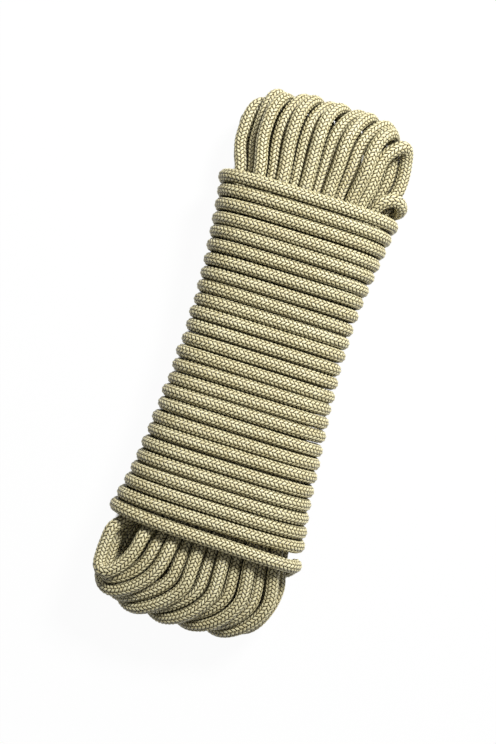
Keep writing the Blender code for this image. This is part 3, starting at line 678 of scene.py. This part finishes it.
def crease_marks(route, side, normal):
    """Marks at every few rings and every side: the largest, over all near points of other stretches,
    of a bell curve of the angle to it, times how close it is."""
    at = np.arange(0, len(route), CREASE_EVERY)
    tree = tree_of(route[at])
    marks = np.zeros((len(at), SIDES))
    angles = 2 * math.pi * np.arange(SIDES) / SIDES
    own = OWN_LENGTH / (RING_STEP * CREASE_EVERY)
    for number, ring in enumerate(at):
        found = tree.find_range(route[ring], CREASE_REACH)
        near = [(place, distance) for place, other, distance in found if abs(other - number) > own]
        if not near:
            continue
        towards = np.array([place for place, _ in near]) - route[ring]
        distance = np.array([distance for _, distance in near])
        facing = np.arctan2(towards @ normal[ring], towards @ side[ring])
        off = (angles[:, None] - facing[None] + math.pi) % (2 * math.pi) - math.pi
        closeness = np.clip((CREASE_REACH - distance) / (CREASE_REACH - CLOSE), 0, 1)
        marks[number] = (np.exp(-((off / CREASE_WIDTH) ** 2)) * closeness).max(1)
    return at, marks


crease_at, creases = crease_marks(line, side, normal)
print("share of the sheath in a crease:", round(float((creases > 0.5).mean()), 2))

# %% [markdown]
# ## The braided sheath
#
# Flat yarns cross here on a braiding machine, half of them turning left and half right. What shows is
# ten columns of short slanted floats, leaning one way in one column and the other way in the next.
# Every yarn could be a strip of its own, but twenty metres of that would be far too heavy, and a
# picture of a braid on a smooth tube would look flat at the outline. So the floats are raised on one
# tube. Its rings aren't flat but zigzag with the lean of the floats, so each float is a clean block of
# the grid. All pieces share the grid of one rope-long sheath, so their rings coincide where they meet.

# %% The sheath's relief
COLUMNS = 10
RELIEF = 0.075
LEAN = 0.19
PLUMP = 3.2
TAPER = 3.0
EDGE = 0.5
FLAT_RINGS = 24


def float_height(across, along_float):
    """Height of the braid, from 0 in the gaps to 1: a float is plump across (one minus a power), and
    at its ends it dives to a low edge that both columns share."""
    plump = 1 - np.abs(2 * along_float - 1) ** PLUMP
    other = 1 - np.abs(2 * ((along_float + 0.5) % 1) - 1) ** PLUMP
    middle = 1 - np.abs(2 * across - 1) ** TAPER
    return plump * middle + EDGE * plump * other * (1 - middle)


def braided_tube(first, last, flat_start=False, flat_end=False):
    """Corners and crease marks of the sheath between two rings of the line. A corner lies at the
    line's point, moved along by the zigzag, plus the radius times cosine and sine."""
    rings = np.arange(first, last + 1)
    turned = np.arange(SIDES)
    column = turned * COLUMNS / SIDES
    zigzag = LEAN * np.abs((column + 1) % 2 - 1) / RING_STEP
    fade = np.ones(len(rings))
    if flat_start:
        fade = np.minimum(fade, (rings - first) / FLAT_RINGS)
    if flat_end:
        fade = np.minimum(fade, (last - rings) / FLAT_RINGS)
    at = rings[:, None] + (zigzag[None] - zigzag.mean()) * fade[:, None]
    at = np.clip(at, 0, len(line) - 1.001)
    low = at.astype(int)
    part = (at - low)[..., None]
    centre = line[low] * (1 - part) + line[low + 1] * part
    across = side[low] * (1 - part) + side[low + 1] * part
    up = normal[low] * (1 - part) + normal[low + 1] * part
    half_step = 0.5 * (np.floor(column)[None] % 2)
    height = float_height((column % 1)[None], (rings[:, None] / RINGS_PER_FLOAT + half_step) % 1)
    angle = 2 * math.pi * turned / SIDES
    radius = (0.5 - RELIEF * (1 - height))[..., None]
    out = np.cos(angle)[None, :, None] * across + np.sin(angle)[None, :, None] * up
    marks = [np.interp(at[:, turn], crease_at, creases[:, turn]) for turn in turned]
    return centre + radius * out, np.stack(marks, 1)


print("floats along one metre of rope:", round(1 / (FLOAT_PITCH * ROPE)), "in each of", COLUMNS, "columns")

# %% [markdown]
# ## From tubes to a mesh
#
# A piece is one mesh of one or more tubes. Blender could make it from a curve with a round bevel, but
# such a tube can't carry the floats' relief. Here the faces of the grid are counted out with numpy and
# put into the mesh at once. Each mesh gets two maps: `Braid` counts columns and floats for the
# material, and `OFBake` lays the unrolled tube out in strips for the baked pictures.


# %% Faces and maps of a tube
STRIP_LENGTH = 22


def grid_faces(ring_count, sides):
    """Quads between neighbouring rings, all facing outward."""
    ring, turned = np.meshgrid(np.arange(ring_count - 1), np.arange(sides), indexing="ij")
    following = (turned + 1) % sides
    low, high = ring * sides, (ring + 1) * sides
    return np.stack([low + turned, low + following, high + following, high + turned], -1).reshape(-1, 4)


def end_fans(ring_count, sides):
    """Triangles from the first and the last ring to one corner in the middle of each."""
    turned = np.arange(sides)
    following, last = (turned + 1) % sides, (ring_count - 1) * sides
    middle = np.full(sides, ring_count * sides)
    start = np.stack([following, turned, middle], 1)
    return np.concatenate([start, np.stack([last + turned, last + following, middle + 1], 1)])


def braid_map(ring_count, sides, first_ring):
    """Pattern map: columns round the rope, and floats counted from the rope's first ring."""
    ring, turned = np.meshgrid(np.arange(ring_count - 1), np.arange(sides), indexing="ij")
    u = np.stack([turned, turned + 1, turned + 1, turned]) * COLUMNS / sides
    v = (first_ring + np.stack([ring, ring, ring + 1, ring + 1])) / RINGS_PER_FLOAT
    return np.stack([u, v], -1).transpose(1, 2, 0, 3).reshape(-1, 2)


def strip_map(ring_count, sides, strips, first_strip, all_strips):
    """Bake map: the unrolled tube cut into equal strips that stand side by side."""
    per_strip = math.ceil((ring_count - 1) / strips)
    ring, turned = np.meshgrid(np.arange(ring_count - 1), np.arange(sides), indexing="ij")
    strip = first_strip + ring // per_strip
    along_strip = (ring % per_strip) / per_strip
    across_strip = np.stack([turned, turned + 1, turned + 1, turned]) / sides
    u = (strip + 0.03 + 0.94 * across_strip) / all_strips
    step = 1 / per_strip
    v = 0.01 + 0.97 * np.stack([along_strip, along_strip, along_strip + step, along_strip + step])
    return np.stack([u, v], -1).transpose(1, 2, 0, 3).reshape(-1, 2)


def disc_map(discs, sides):
    """Bake map of the end fans: small discs in a row along the map's upper edge."""
    turned, disc = np.tile(np.arange(sides), discs), np.repeat(np.arange(discs), sides)
    place = np.stack([0.004 + 0.0075 * disc, np.full(discs * sides, 0.992)], 1)
    angles = [2 * math.pi * t / sides for t in (turned, turned + 1)]
    rim = [place + np.stack([np.cos(angle), np.sin(angle)], 1) * 0.003 for angle in angles]
    return np.stack([*rim, place], 1).reshape(-1, 2)


print("maps hold strips of", STRIP_LENGTH, "rope diameters")


# %% Pieces
def put_in_mesh(name, points, quads, fans, maps, marks):
    """A mesh of quads and then triangles, with its maps and its crease marks."""
    mesh = bpy.data.meshes.new(name)
    mesh.vertices.add(len(points))
    mesh.vertices.foreach_set("co", points.astype(np.float32).ravel())
    corners_in_order = np.concatenate([quads.ravel(), fans.ravel()])
    mesh.loops.add(len(corners_in_order))
    mesh.loops.foreach_set("vertex_index", corners_in_order.astype(np.int32))
    mesh.polygons.add(len(quads) + len(fans))
    loop_starts = np.concatenate([4 * np.arange(len(quads)), 4 * len(quads) + 3 * np.arange(len(fans))])
    mesh.polygons.foreach_set("loop_start", loop_starts.astype(np.int32))
    mesh.polygons.foreach_set("use_smooth", np.arange(len(quads) + len(fans)) < len(quads))
    for map_name, places in maps.items():
        layer = mesh.uv_layers.new(name=map_name)
        layer.data.foreach_set("uv", places.astype(np.float32).ravel())
    crease = mesh.attributes.new("Crease", "FLOAT", "POINT")
    crease.data.foreach_set("value", marks.astype(np.float32))
    mesh.update()
    mesh.validate()
    return mesh


def make_piece(name, tubes, sides, material):
    """One piece from several tubes, each given as corners (rings, sides, 3), crease marks and its
    first ring number. Ends are closed with a fan to the middle of the end ring."""
    strips = [max(1, round(len(corners) * RING_STEP / STRIP_LENGTH)) for corners, _, _ in tubes]
    points, quads, fans, pattern, bake, marks = [], [], [], [], [], []
    first_corner = 0
    for number, (corners, tube_marks, first_ring) in enumerate(tubes):
        ring_count = len(corners)
        points += [corners.reshape(-1, 3), corners[[0, -1]].mean(1)]
        marks += [tube_marks.ravel(), tube_marks[[0, -1]].mean(1)]
        quads.append(grid_faces(ring_count, sides) + first_corner)
        fans.append(end_fans(ring_count, sides) + first_corner)
        pattern.append(braid_map(ring_count, sides, first_ring))
        bake.append(strip_map(ring_count, sides, strips[number], sum(strips[:number]), sum(strips)))
        first_corner += ring_count * sides + 2
    points, quads, fans = np.concatenate(points) * ROPE, np.concatenate(quads), np.concatenate(fans)
    points[:, 2] = np.maximum(points[:, 2], 0)
    maps = {
        "Braid": np.concatenate([*pattern, np.zeros((3 * len(fans), 2))]),
        "OFBake": np.concatenate([*bake, disc_map(2 * len(tubes), sides)]),
    }
    piece = bpy.data.objects.new(name, put_in_mesh(name, points, quads, fans, maps, np.concatenate(marks)))
    piece.data.materials.append(material)
    bpy.context.scene.collection.objects.link(piece)
    print(name + ":", 2 * len(quads) + len(fans), "triangles")
    return piece


# %% [markdown]
# ## The yarn's material
#
# The yarn is a dry khaki cream with a soft shine. Shade is painted into its colour: browner at the
# floats' edges and nearly black in the gaps between them, because one flat colour would leave all that
# to the shadows, which is too little in soft light. The pattern map counts columns across and floats
# along, so a material can tell where in its float a point lies. One node group turns that into plain
# things: the height of the float, a number of its own for each float, the fibres, and a normal. The
# material itself only mixes colours with them, and so paints that shade.


# %% Node helpers
def maths(tree, operation, first, second=None, third=None, clamp=False):
    """One Math node; each input is a socket or a number."""
    node = tree.nodes.new("ShaderNodeMath")
    node.operation = operation
    node.use_clamp = clamp
    for index, value in enumerate((first, second, third)):
        if value is None:
            continue
        if isinstance(value, (int, float)):
            node.inputs[index].default_value = value
        else:
            tree.links.new(value, node.inputs[index])
    return node.outputs[0]


def stepped(tree, value, none_at, full_at):
    """Map Range with an eased step: 0 at the first value, 1 at the second."""
    node = tree.nodes.new("ShaderNodeMapRange")
    node.interpolation_type = "SMOOTHSTEP"
    node.inputs["From Min"].default_value = none_at
    node.inputs["From Max"].default_value = full_at
    tree.links.new(value, node.inputs["Value"])
    return node.outputs["Result"]


def braid_group():
    """Group "braid": the height of the float under a point, worked out as in float_height, the float's
    own number, its fibres, and a normal from both."""
    group = bpy.data.node_groups.new("braid", "ShaderNodeTree")
    for name, kind, direction in (
        ("Map", "NodeSocketVector", "INPUT"),
        ("Height", "NodeSocketFloat", "OUTPUT"),
        ("Own number", "NodeSocketFloat", "OUTPUT"),
        ("Fibres", "NodeSocketFloat", "OUTPUT"),
        ("Normal", "NodeSocketVector", "OUTPUT"),
    ):
        group.interface.new_socket(name, in_out=direction, socket_type=kind)
    start = group.nodes.new("NodeGroupInput")
    end = group.nodes.new("NodeGroupOutput")
    split = group.nodes.new("ShaderNodeSeparateXYZ")
    group.links.new(start.outputs["Map"], split.inputs[0])
    column = maths(group, "FLOOR", split.outputs[0])
    across = maths(group, "FRACT", split.outputs[0])
    odd = maths(group, "MULTIPLY", maths(group, "MODULO", column, 2.0), 0.5)
    counted = maths(group, "ADD", split.outputs[1], odd)
    within = maths(group, "FRACT", counted)

    def hump(value, power):
        centred = maths(group, "ABSOLUTE", maths(group, "MULTIPLY_ADD", value, 2.0, -1.0))
        return maths(group, "SUBTRACT", 1.0, maths(group, "POWER", centred, power))

    plump = hump(within, PLUMP)
    other = hump(maths(group, "FRACT", maths(group, "ADD", within, 0.5)), PLUMP)
    middle = hump(across, TAPER)
    edge = maths(group, "MULTIPLY", maths(group, "MULTIPLY", plump, other), EDGE)
    rest = maths(group, "MULTIPLY", edge, maths(group, "SUBTRACT", 1.0, middle))
    height = maths(group, "ADD", maths(group, "MULTIPLY", plump, middle), rest)
    group.links.new(height, end.inputs["Height"])
    own = group.nodes.new("ShaderNodeTexWhiteNoise")
    own.noise_dimensions = "2D"
    name_of_float = group.nodes.new("ShaderNodeCombineXYZ")
    group.links.new(column, name_of_float.inputs[0])
    group.links.new(maths(group, "FLOOR", counted), name_of_float.inputs[1])
    group.links.new(name_of_float.outputs[0], own.inputs["Vector"])
    group.links.new(own.outputs["Value"], end.inputs["Own number"])
    fibre_place = group.nodes.new("ShaderNodeCombineXYZ")
    group.links.new(maths(group, "MULTIPLY", split.outputs[0], 2.0), fibre_place.inputs[0])
    group.links.new(maths(group, "MULTIPLY", counted, 16.0), fibre_place.inputs[1])
    fibres = group.nodes.new("ShaderNodeTexNoise")
    fibres.inputs["Scale"].default_value = 1.0
    fibres.inputs["Detail"].default_value = 2.0
    group.links.new(fibre_place.outputs[0], fibres.inputs["Vector"])
    group.links.new(fibres.outputs["Fac"], end.inputs["Fibres"])
    raised = maths(group, "ADD", height, maths(group, "MULTIPLY", fibres.outputs["Fac"], 0.35))
    bump = group.nodes.new("ShaderNodeBump")
    bump.inputs["Strength"].default_value = 0.5
    bump.inputs["Distance"].default_value = 0.0004
    group.links.new(raised, bump.inputs["Height"])
    group.links.new(bump.outputs[0], end.inputs["Normal"])
    return group


def linear(red, green, blue):
    """A screen colour, 0 to 255, as the light it stands for."""
    steps = np.array([red, green, blue]) / 255
    return (*np.where(steps <= 0.04045, steps / 12.92, ((steps + 0.055) / 1.055) ** 2.4), 1.0)


YARN_COLOUR = linear(232, 226, 186)
YARN_DARK = linear(186, 172, 124)
# Painted shade: near black for the gaps between floats and for the creases between strands.
PAINTED_SHADE_COLOUR = linear(22, 17, 5)
CORE_COLOUR = linear(228, 224, 210)
SEAL_COLOUR = linear(58, 48, 26)


def mixed(tree, factor, first, second):
    """A Mix node of two colours."""
    node = tree.nodes.new("ShaderNodeMix")
    node.data_type = "RGBA"
    for index, value in ((0, factor), (6, first), (7, second)):
        if hasattr(value, "links"):
            tree.links.new(value, node.inputs[index])
        else:
            node.inputs[index].default_value = value
    return node.outputs[2]


def yarn_material(name, group):
    """Cream to brown by the float's number, fibres, a slow change along the rope and painted shade at the
    float's edge; then painted shade takes the gaps and the creases towards black."""
    material = bpy.data.materials.new(name)
    material.use_nodes = True
    tree = material.node_tree
    shader = tree.nodes["Principled BSDF"]
    place = tree.nodes.new("ShaderNodeUVMap")
    place.uv_map = "Braid"
    braid = tree.nodes.new("ShaderNodeGroup")
    braid.node_tree = group
    tree.links.new(place.outputs[0], braid.inputs["Map"])
    slow = tree.nodes.new("ShaderNodeTexNoise")
    slow.noise_dimensions = "1D"
    slow.inputs["Scale"].default_value = 0.02
    split = tree.nodes.new("ShaderNodeSeparateXYZ")
    tree.links.new(place.outputs[0], split.inputs[0])
    tree.links.new(split.outputs[1], slow.inputs["W"])
    # Painted shade: the float's sloping edges go browner as its height falls.
    painted_edge_shade = stepped(tree, braid.outputs["Height"], 1.0, 0.55)
    shade = maths(tree, "MULTIPLY_ADD", braid.outputs["Own number"], 0.35, -0.35)
    shade = maths(tree, "MULTIPLY_ADD", braid.outputs["Fibres"], 0.5, shade)
    shade = maths(tree, "MULTIPLY_ADD", slow.outputs["Fac"], 0.4, shade)
    shade = maths(tree, "MULTIPLY_ADD", painted_edge_shade, 0.65, shade, clamp=True)
    yarn = mixed(tree, shade, YARN_COLOUR, YARN_DARK)
    # Painted shade: the low parts of the braid go towards near black.
    woven = mixed(tree, stepped(tree, braid.outputs["Height"], 0.78, 0.28), yarn, PAINTED_SHADE_COLOUR)
    crease = tree.nodes.new("ShaderNodeAttribute")
    crease.attribute_name = "Crease"
    # Painted shade in the creases where the rope touches itself.
    painted_crease_shade = maths(tree, "MULTIPLY", maths(tree, "POWER", crease.outputs["Fac"], 0.85), 0.97)
    tree.links.new(mixed(tree, painted_crease_shade, woven, PAINTED_SHADE_COLOUR), shader.inputs["Base Color"])
    tree.links.new(braid.outputs["Normal"], shader.inputs["Normal"])
    shader.inputs["Roughness"].default_value = 0.42
    shader.inputs["Specular IOR Level"].default_value = 0.5
    return material


def plain_material(name, colour, roughness):
    """One colour and one roughness."""
    material = bpy.data.materials.new(name)
    material.use_nodes = True
    shader = material.node_tree.nodes["Principled BSDF"]
    shader.inputs["Base Color"].default_value = colour
    shader.inputs["Roughness"].default_value = roughness
    return material


sheath_material = yarn_material("braided_yarn", braid_group())
core_material = plain_material("core_yarn", CORE_COLOUR, 0.7)
seal_material = plain_material("melted_yarn", SEAL_COLOUR, 0.35)
print("materials:", [m.name for m in (sheath_material, core_material, seal_material)])

# %% [markdown]
# ## The sheath, piece by piece
#
# A rope's sheath has no seam. It could be one mesh, but that would be more than a million and a half
# triangles, too many to work with. So it is cut where the eye would name the parts: bends at the top
# and the bottom, the small bight, the winding in five lengths, the tuck and the two tails.


# %% Sheath pieces
def ring_at(name, extra=0.0):
    """Ring number of a stretch's start, moved by some rope diameters."""
    return int(round((starts[name] + extra) / RING_STEP / RINGS_PER_FLOAT)) * RINGS_PER_FLOAT


def sheath(first, last, **flat_ends):
    """A tube as make_piece takes it."""
    return *braided_tube(first, last, **flat_ends), first


COVERED = 1.2
SEAL_LENGTH = 0.4
seal_rings = int(SEAL_LENGTH / RING_STEP)
pieces = []
for group_name, side_name, loops in (
    ("top_bends_left", "top", range(0, 7)),
    ("top_bends_right", "top", range(7, 14)),
    ("bottom_bends_left", "bottom", range(0, 7)),
    ("bottom_bends_right", "bottom", range(7, 14)),
):
    after = "down" if side_name == "top" else "up"
    tubes = []
    for k in loops:
        tubes.append(sheath(ring_at(f"{side_name}_{k}", -COVERED), ring_at(f"{after}_{k}", COVERED)))
    pieces.append(make_piece(group_name, tubes, SIDES, sheath_material))

# %% Winding, small bight, tuck and tails
WINDING_PIECES = 5
wound_length = starts["tuck"] - starts["winding"]
cuts = [ring_at("winding", share * wound_length) for share in np.linspace(0, 1, WINDING_PIECES + 1)]
for number, (first, last) in enumerate(zip(cuts, cuts[1:])):
    pieces.append(make_piece(f"winding_{number + 1}", [sheath(first, last)], SIDES, sheath_material))
bight_start = ring_at("bight", -COVERED)
tuck_end = ring_at("outer_tail", COVERED)
pieces.append(make_piece("small_bight", [sheath(bight_start, cuts[0])], SIDES, sheath_material))
pieces.append(make_piece("tuck", [sheath(cuts[-1], tuck_end)], SIDES, sheath_material))
inner_end = ring_at("top_0", -COVERED)
inner_tube = sheath(seal_rings, inner_end, flat_start=True)
pieces.append(make_piece("inner_tail", [inner_tube], SIDES, sheath_material))
outer_end = len(line) - 1 - seal_rings
outer_tube = sheath(tuck_end, outer_end, flat_end=True)
pieces.append(make_piece("outer_tail", [outer_tube], SIDES, sheath_material))

# %% [markdown]
# ## The legs inside the winding
#
# Under the winding the twenty-eight legs run from end to end and can't be seen. They could be left
# out, but the hank should be whole when it is cut open, and a little of them shows deep between the
# turns. So they are there as plain tubes with fewer sides, in the same material.


# %% Hidden legs
LEG_RADIUS, LEG_SIDES, LEG_RINGS_APART = 0.48, 12, 12


def round_tube(rings, radii, sides):
    """A plain tube: line points plus radius times cosine and sine of the two frame directions."""
    angle = (2 * math.pi * np.arange(sides) / sides)[None, :, None]
    out = np.cos(angle) * side[rings][:, None] + np.sin(angle) * normal[rings][:, None]
    corners = line[rings][:, None] + np.broadcast_to(radii, len(rings))[:, None, None] * out
    return corners, np.zeros(corners.shape[:2])


legs = []
for k in range(LOOP_COUNT):
    following = f"top_{k + 1}" if k < LOOP_COUNT - 1 else "bight"
    for name, after in ((f"down_{k}", f"bottom_{k}"), (f"up_{k}", following)):
        first, last = ring_at(name, COVERED), ring_at(after, -COVERED)
        rings = np.linspace(first, last, (last - first) // LEG_RINGS_APART).astype(int)
        legs.append((*round_tube(rings, LEG_RADIUS, LEG_SIDES), first))
pieces.append(make_piece("legs", legs, LEG_SIDES, sheath_material))

# %% [markdown]
# ## The core and the melted ends
#
# Under the sheath runs the core that carries the load, a bundle of pale yarns. Inside an unbroken
# sheath a plain tube does for it. It is the rope's own body, and it stands for the solid model's core
# strands. Both ends are melted into a small dark cap, so that they don't fray: a ball would be the
# simplest, but a melted end keeps the rope's width and only rounds its rim, so the cap is a short tube
# with a profile.

# %% Core and seals
CORE_RADIUS, CORE_SIDES, CORE_RINGS_APART, CORE_END = 0.41, 12, 14, 4
core_count = len(line) // CORE_RINGS_APART
core_rings = np.linspace(CORE_END, len(line) - 1 - CORE_END, core_count).round().astype(int)
core_tube = (*round_tube(core_rings, CORE_RADIUS, CORE_SIDES), 0)
core = make_piece("core", [core_tube], CORE_SIDES, core_material)

SEAL_SIDES = 24
SEAL_PROFILE = ((0.0, 0.50), (0.12, 0.525), (0.3, 0.52), (0.6, 0.50), (0.85, 0.44), (1.0, 0.30))
shares, radii = np.array(SEAL_PROFILE).T
inner_rings = np.round((1 - shares[::-1]) * seal_rings).astype(int)
outer_rings = (outer_end + np.round(shares * seal_rings)).astype(int)
inner_cap = (*round_tube(inner_rings, radii[::-1], SEAL_SIDES), 0)
outer_cap = (*round_tube(outer_rings, radii, SEAL_SIDES), 0)
inner_seal = make_piece("inner_seal", [inner_cap], SEAL_SIDES, seal_material)
outer_seal = make_piece("outer_seal", [outer_cap], SEAL_SIDES, seal_material)

# %% [markdown]
# ## Joining the frame
#
# A picture alone would be done here, but this hank also has a simple solid model that can be dropped
# and picked up. Every piece rides on its one body and stands for the solids that it covers.

# %% Frame
stands_for = {
    "top_bends_left": ["lengthwise_loops"],
    "small_bight": ["turnover_bight"],
    "winding_1": ["winding"],
    "tuck": ["end_tuck"],
    "inner_tail": ["inner_tail_sheath"],
    "outer_tail": ["outer_tail_sheath"],
}
for piece in pieces:
    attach(piece, "root")
    if piece.name in stands_for:
        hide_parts(*stands_for[piece.name])
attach(core, "root")
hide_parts(*[f"{end}_core_strand_{number}" for end in ("inner", "outer") for number in range(1, 8)])
for piece, node in ((inner_seal, "inner_end_seal"), (outer_seal, "outer_end_seal")):
    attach(piece, "root")
    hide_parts(node)

# %% [markdown]
# ## Table and light
#
# The hank lies on a plain pale floor. A lamp straight above would light every strand alike; one soft
# lamp stands beyond the upper right instead, so each strand has a bright side and a darker edge, and
# the open loops stay dark inside. A weak lamp above and a dim world fill the rest. A white floor would
# throw light into the hank from below, so the floor is only shown white to the camera beside the hank,
# and still takes its shadow. Under the hank it stays plain, so no white shows between the strands.


# %% The floor's white
UNDER_WAIST, UNDER_FLARE, UNDER_HALF_LENGTH = 0.0575, 0.45, 0.204


def beside_hank(tree):
    """0 on the floor under the hank, 1 beside it: a superellipse in the floor's own coordinates, whose
    half width grows with the square of the distance from the waist."""
    place = tree.nodes.new("ShaderNodeTexCoord")
    split = tree.nodes.new("ShaderNodeSeparateXYZ")
    tree.links.new(place.outputs["Object"], split.inputs[0])
    along = maths(tree, "ABSOLUTE", split.outputs[1])
    from_waist = maths(tree, "POWER", maths(tree, "SUBTRACT", split.outputs[1], WAIST * ROPE), 2.0)
    half_width = maths(tree, "MULTIPLY_ADD", from_waist, UNDER_FLARE, UNDER_WAIST)
    across = maths(tree, "ABSOLUTE", maths(tree, "DIVIDE", split.outputs[0], half_width))
    across = maths(tree, "POWER", across, 5.0)
    lengthwise = maths(tree, "POWER", maths(tree, "DIVIDE", along, UNDER_HALF_LENGTH), 5.0)
    outside = maths(tree, "SUBTRACT", maths(tree, "ADD", across, lengthwise), 0.85)
    return maths(tree, "MULTIPLY", outside, 6.0, clamp=True)


def white_to_camera(tree, lit_shader, output, share):
    """Mixes a share of plain white in, for camera, glossy and transmission rays."""
    rays = tree.nodes.new("ShaderNodeLightPath")
    seen = maths(tree, "MAXIMUM", rays.outputs["Is Camera Ray"], rays.outputs["Is Glossy Ray"])
    seen = maths(tree, "MAXIMUM", seen, rays.outputs["Is Transmission Ray"])
    white = tree.nodes.new("ShaderNodeEmission")
    mix = tree.nodes.new("ShaderNodeMixShader")
    amount = maths(tree, "MULTIPLY", maths(tree, "MULTIPLY", seen, share), beside_hank(tree))
    tree.links.new(amount, mix.inputs[0])
    tree.links.new(lit_shader, mix.inputs[1])
    tree.links.new(white.outputs[0], mix.inputs[2])
    tree.links.new(mix.outputs[0], output)


# %% Floor
WHITE_SHARE = 0.96
floor_mesh = bpy.data.meshes.new("floor")
floor_mesh.from_pydata([(-3, -3, 0), (3, -3, 0), (3, 3, 0), (-3, 3, 0)], [], [(0, 1, 2, 3)])
floor = bpy.data.objects.new("floor", floor_mesh)
floor.location.z = -0.0005
bpy.context.scene.collection.objects.link(floor)
floor_material = plain_material("floor", (0.85, 0.85, 0.85, 1.0), 0.9)
floor_tree = floor_material.node_tree
white_to_camera(
    floor_tree,
    floor_tree.nodes["Principled BSDF"].outputs[0],
    floor_tree.nodes["Material Output"].inputs["Surface"],
    WHITE_SHARE,
)
floor_mesh.materials.append(floor_material)
floor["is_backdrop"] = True
print("floor height, mm:", round(floor.location.z * 1000, 2))

# %% World and lamps
WORLD_STRENGTH = 0.12
KEY_UP, KEY_RIGHT, KEY_ABOVE = 0.72, 0.62, 1.2
world = bpy.data.worlds.new("world")
bpy.context.scene.world = world
world.use_nodes = True
sky = world.node_tree.nodes["Background"]
sky.inputs["Color"].default_value = (1.0, 1.0, 1.0, 1.0)
rays = world.node_tree.nodes.new("ShaderNodeLightPath")
seen = maths(world.node_tree, "MAXIMUM", rays.outputs["Is Camera Ray"], rays.outputs["Is Transmission Ray"])
strength = maths(world.node_tree, "MULTIPLY_ADD", seen, 1 - WORLD_STRENGTH, WORLD_STRENGTH)
world.node_tree.links.new(strength, sky.inputs["Strength"])

up_in_view = np.array([-math.sin(HANK_TURN), math.cos(HANK_TURN), 0.0])
right_in_view = np.array([math.cos(HANK_TURN), math.sin(HANK_TURN), 0.0])


def soft_lamp(name, place, size, power):
    """A square area lamp that faces the hank."""
    lamp = bpy.data.objects.new(name, bpy.data.lights.new(name, "AREA"))
    lamp.data.size = size
    lamp.data.energy = power
    lamp.location = place
    lamp.rotation_euler = (-Vector(place)).to_track_quat("-Z", "Y").to_euler()
    bpy.context.scene.collection.objects.link(lamp)


key_place = up_in_view * KEY_UP + right_in_view * KEY_RIGHT + np.array([0, 0, KEY_ABOVE])
soft_lamp("key", tuple(key_place), size=0.35, power=32.5)
soft_lamp("fill", (0.0, 0.0, 1.9), size=0.7, power=2.5)
bpy.context.scene.view_settings.view_transform = "Standard"

# %% [markdown]
# ## Measuring and handing over
#
# Last the finished hank is measured against the solid model, because both have to fill the same space.

# %% Size and finish
low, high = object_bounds()
for name, size in (("visual", high - low), ("CAD", cad_high - cad_low)):
    print(name, "size, mm:", [round(v * 1000, 1) for v in size])
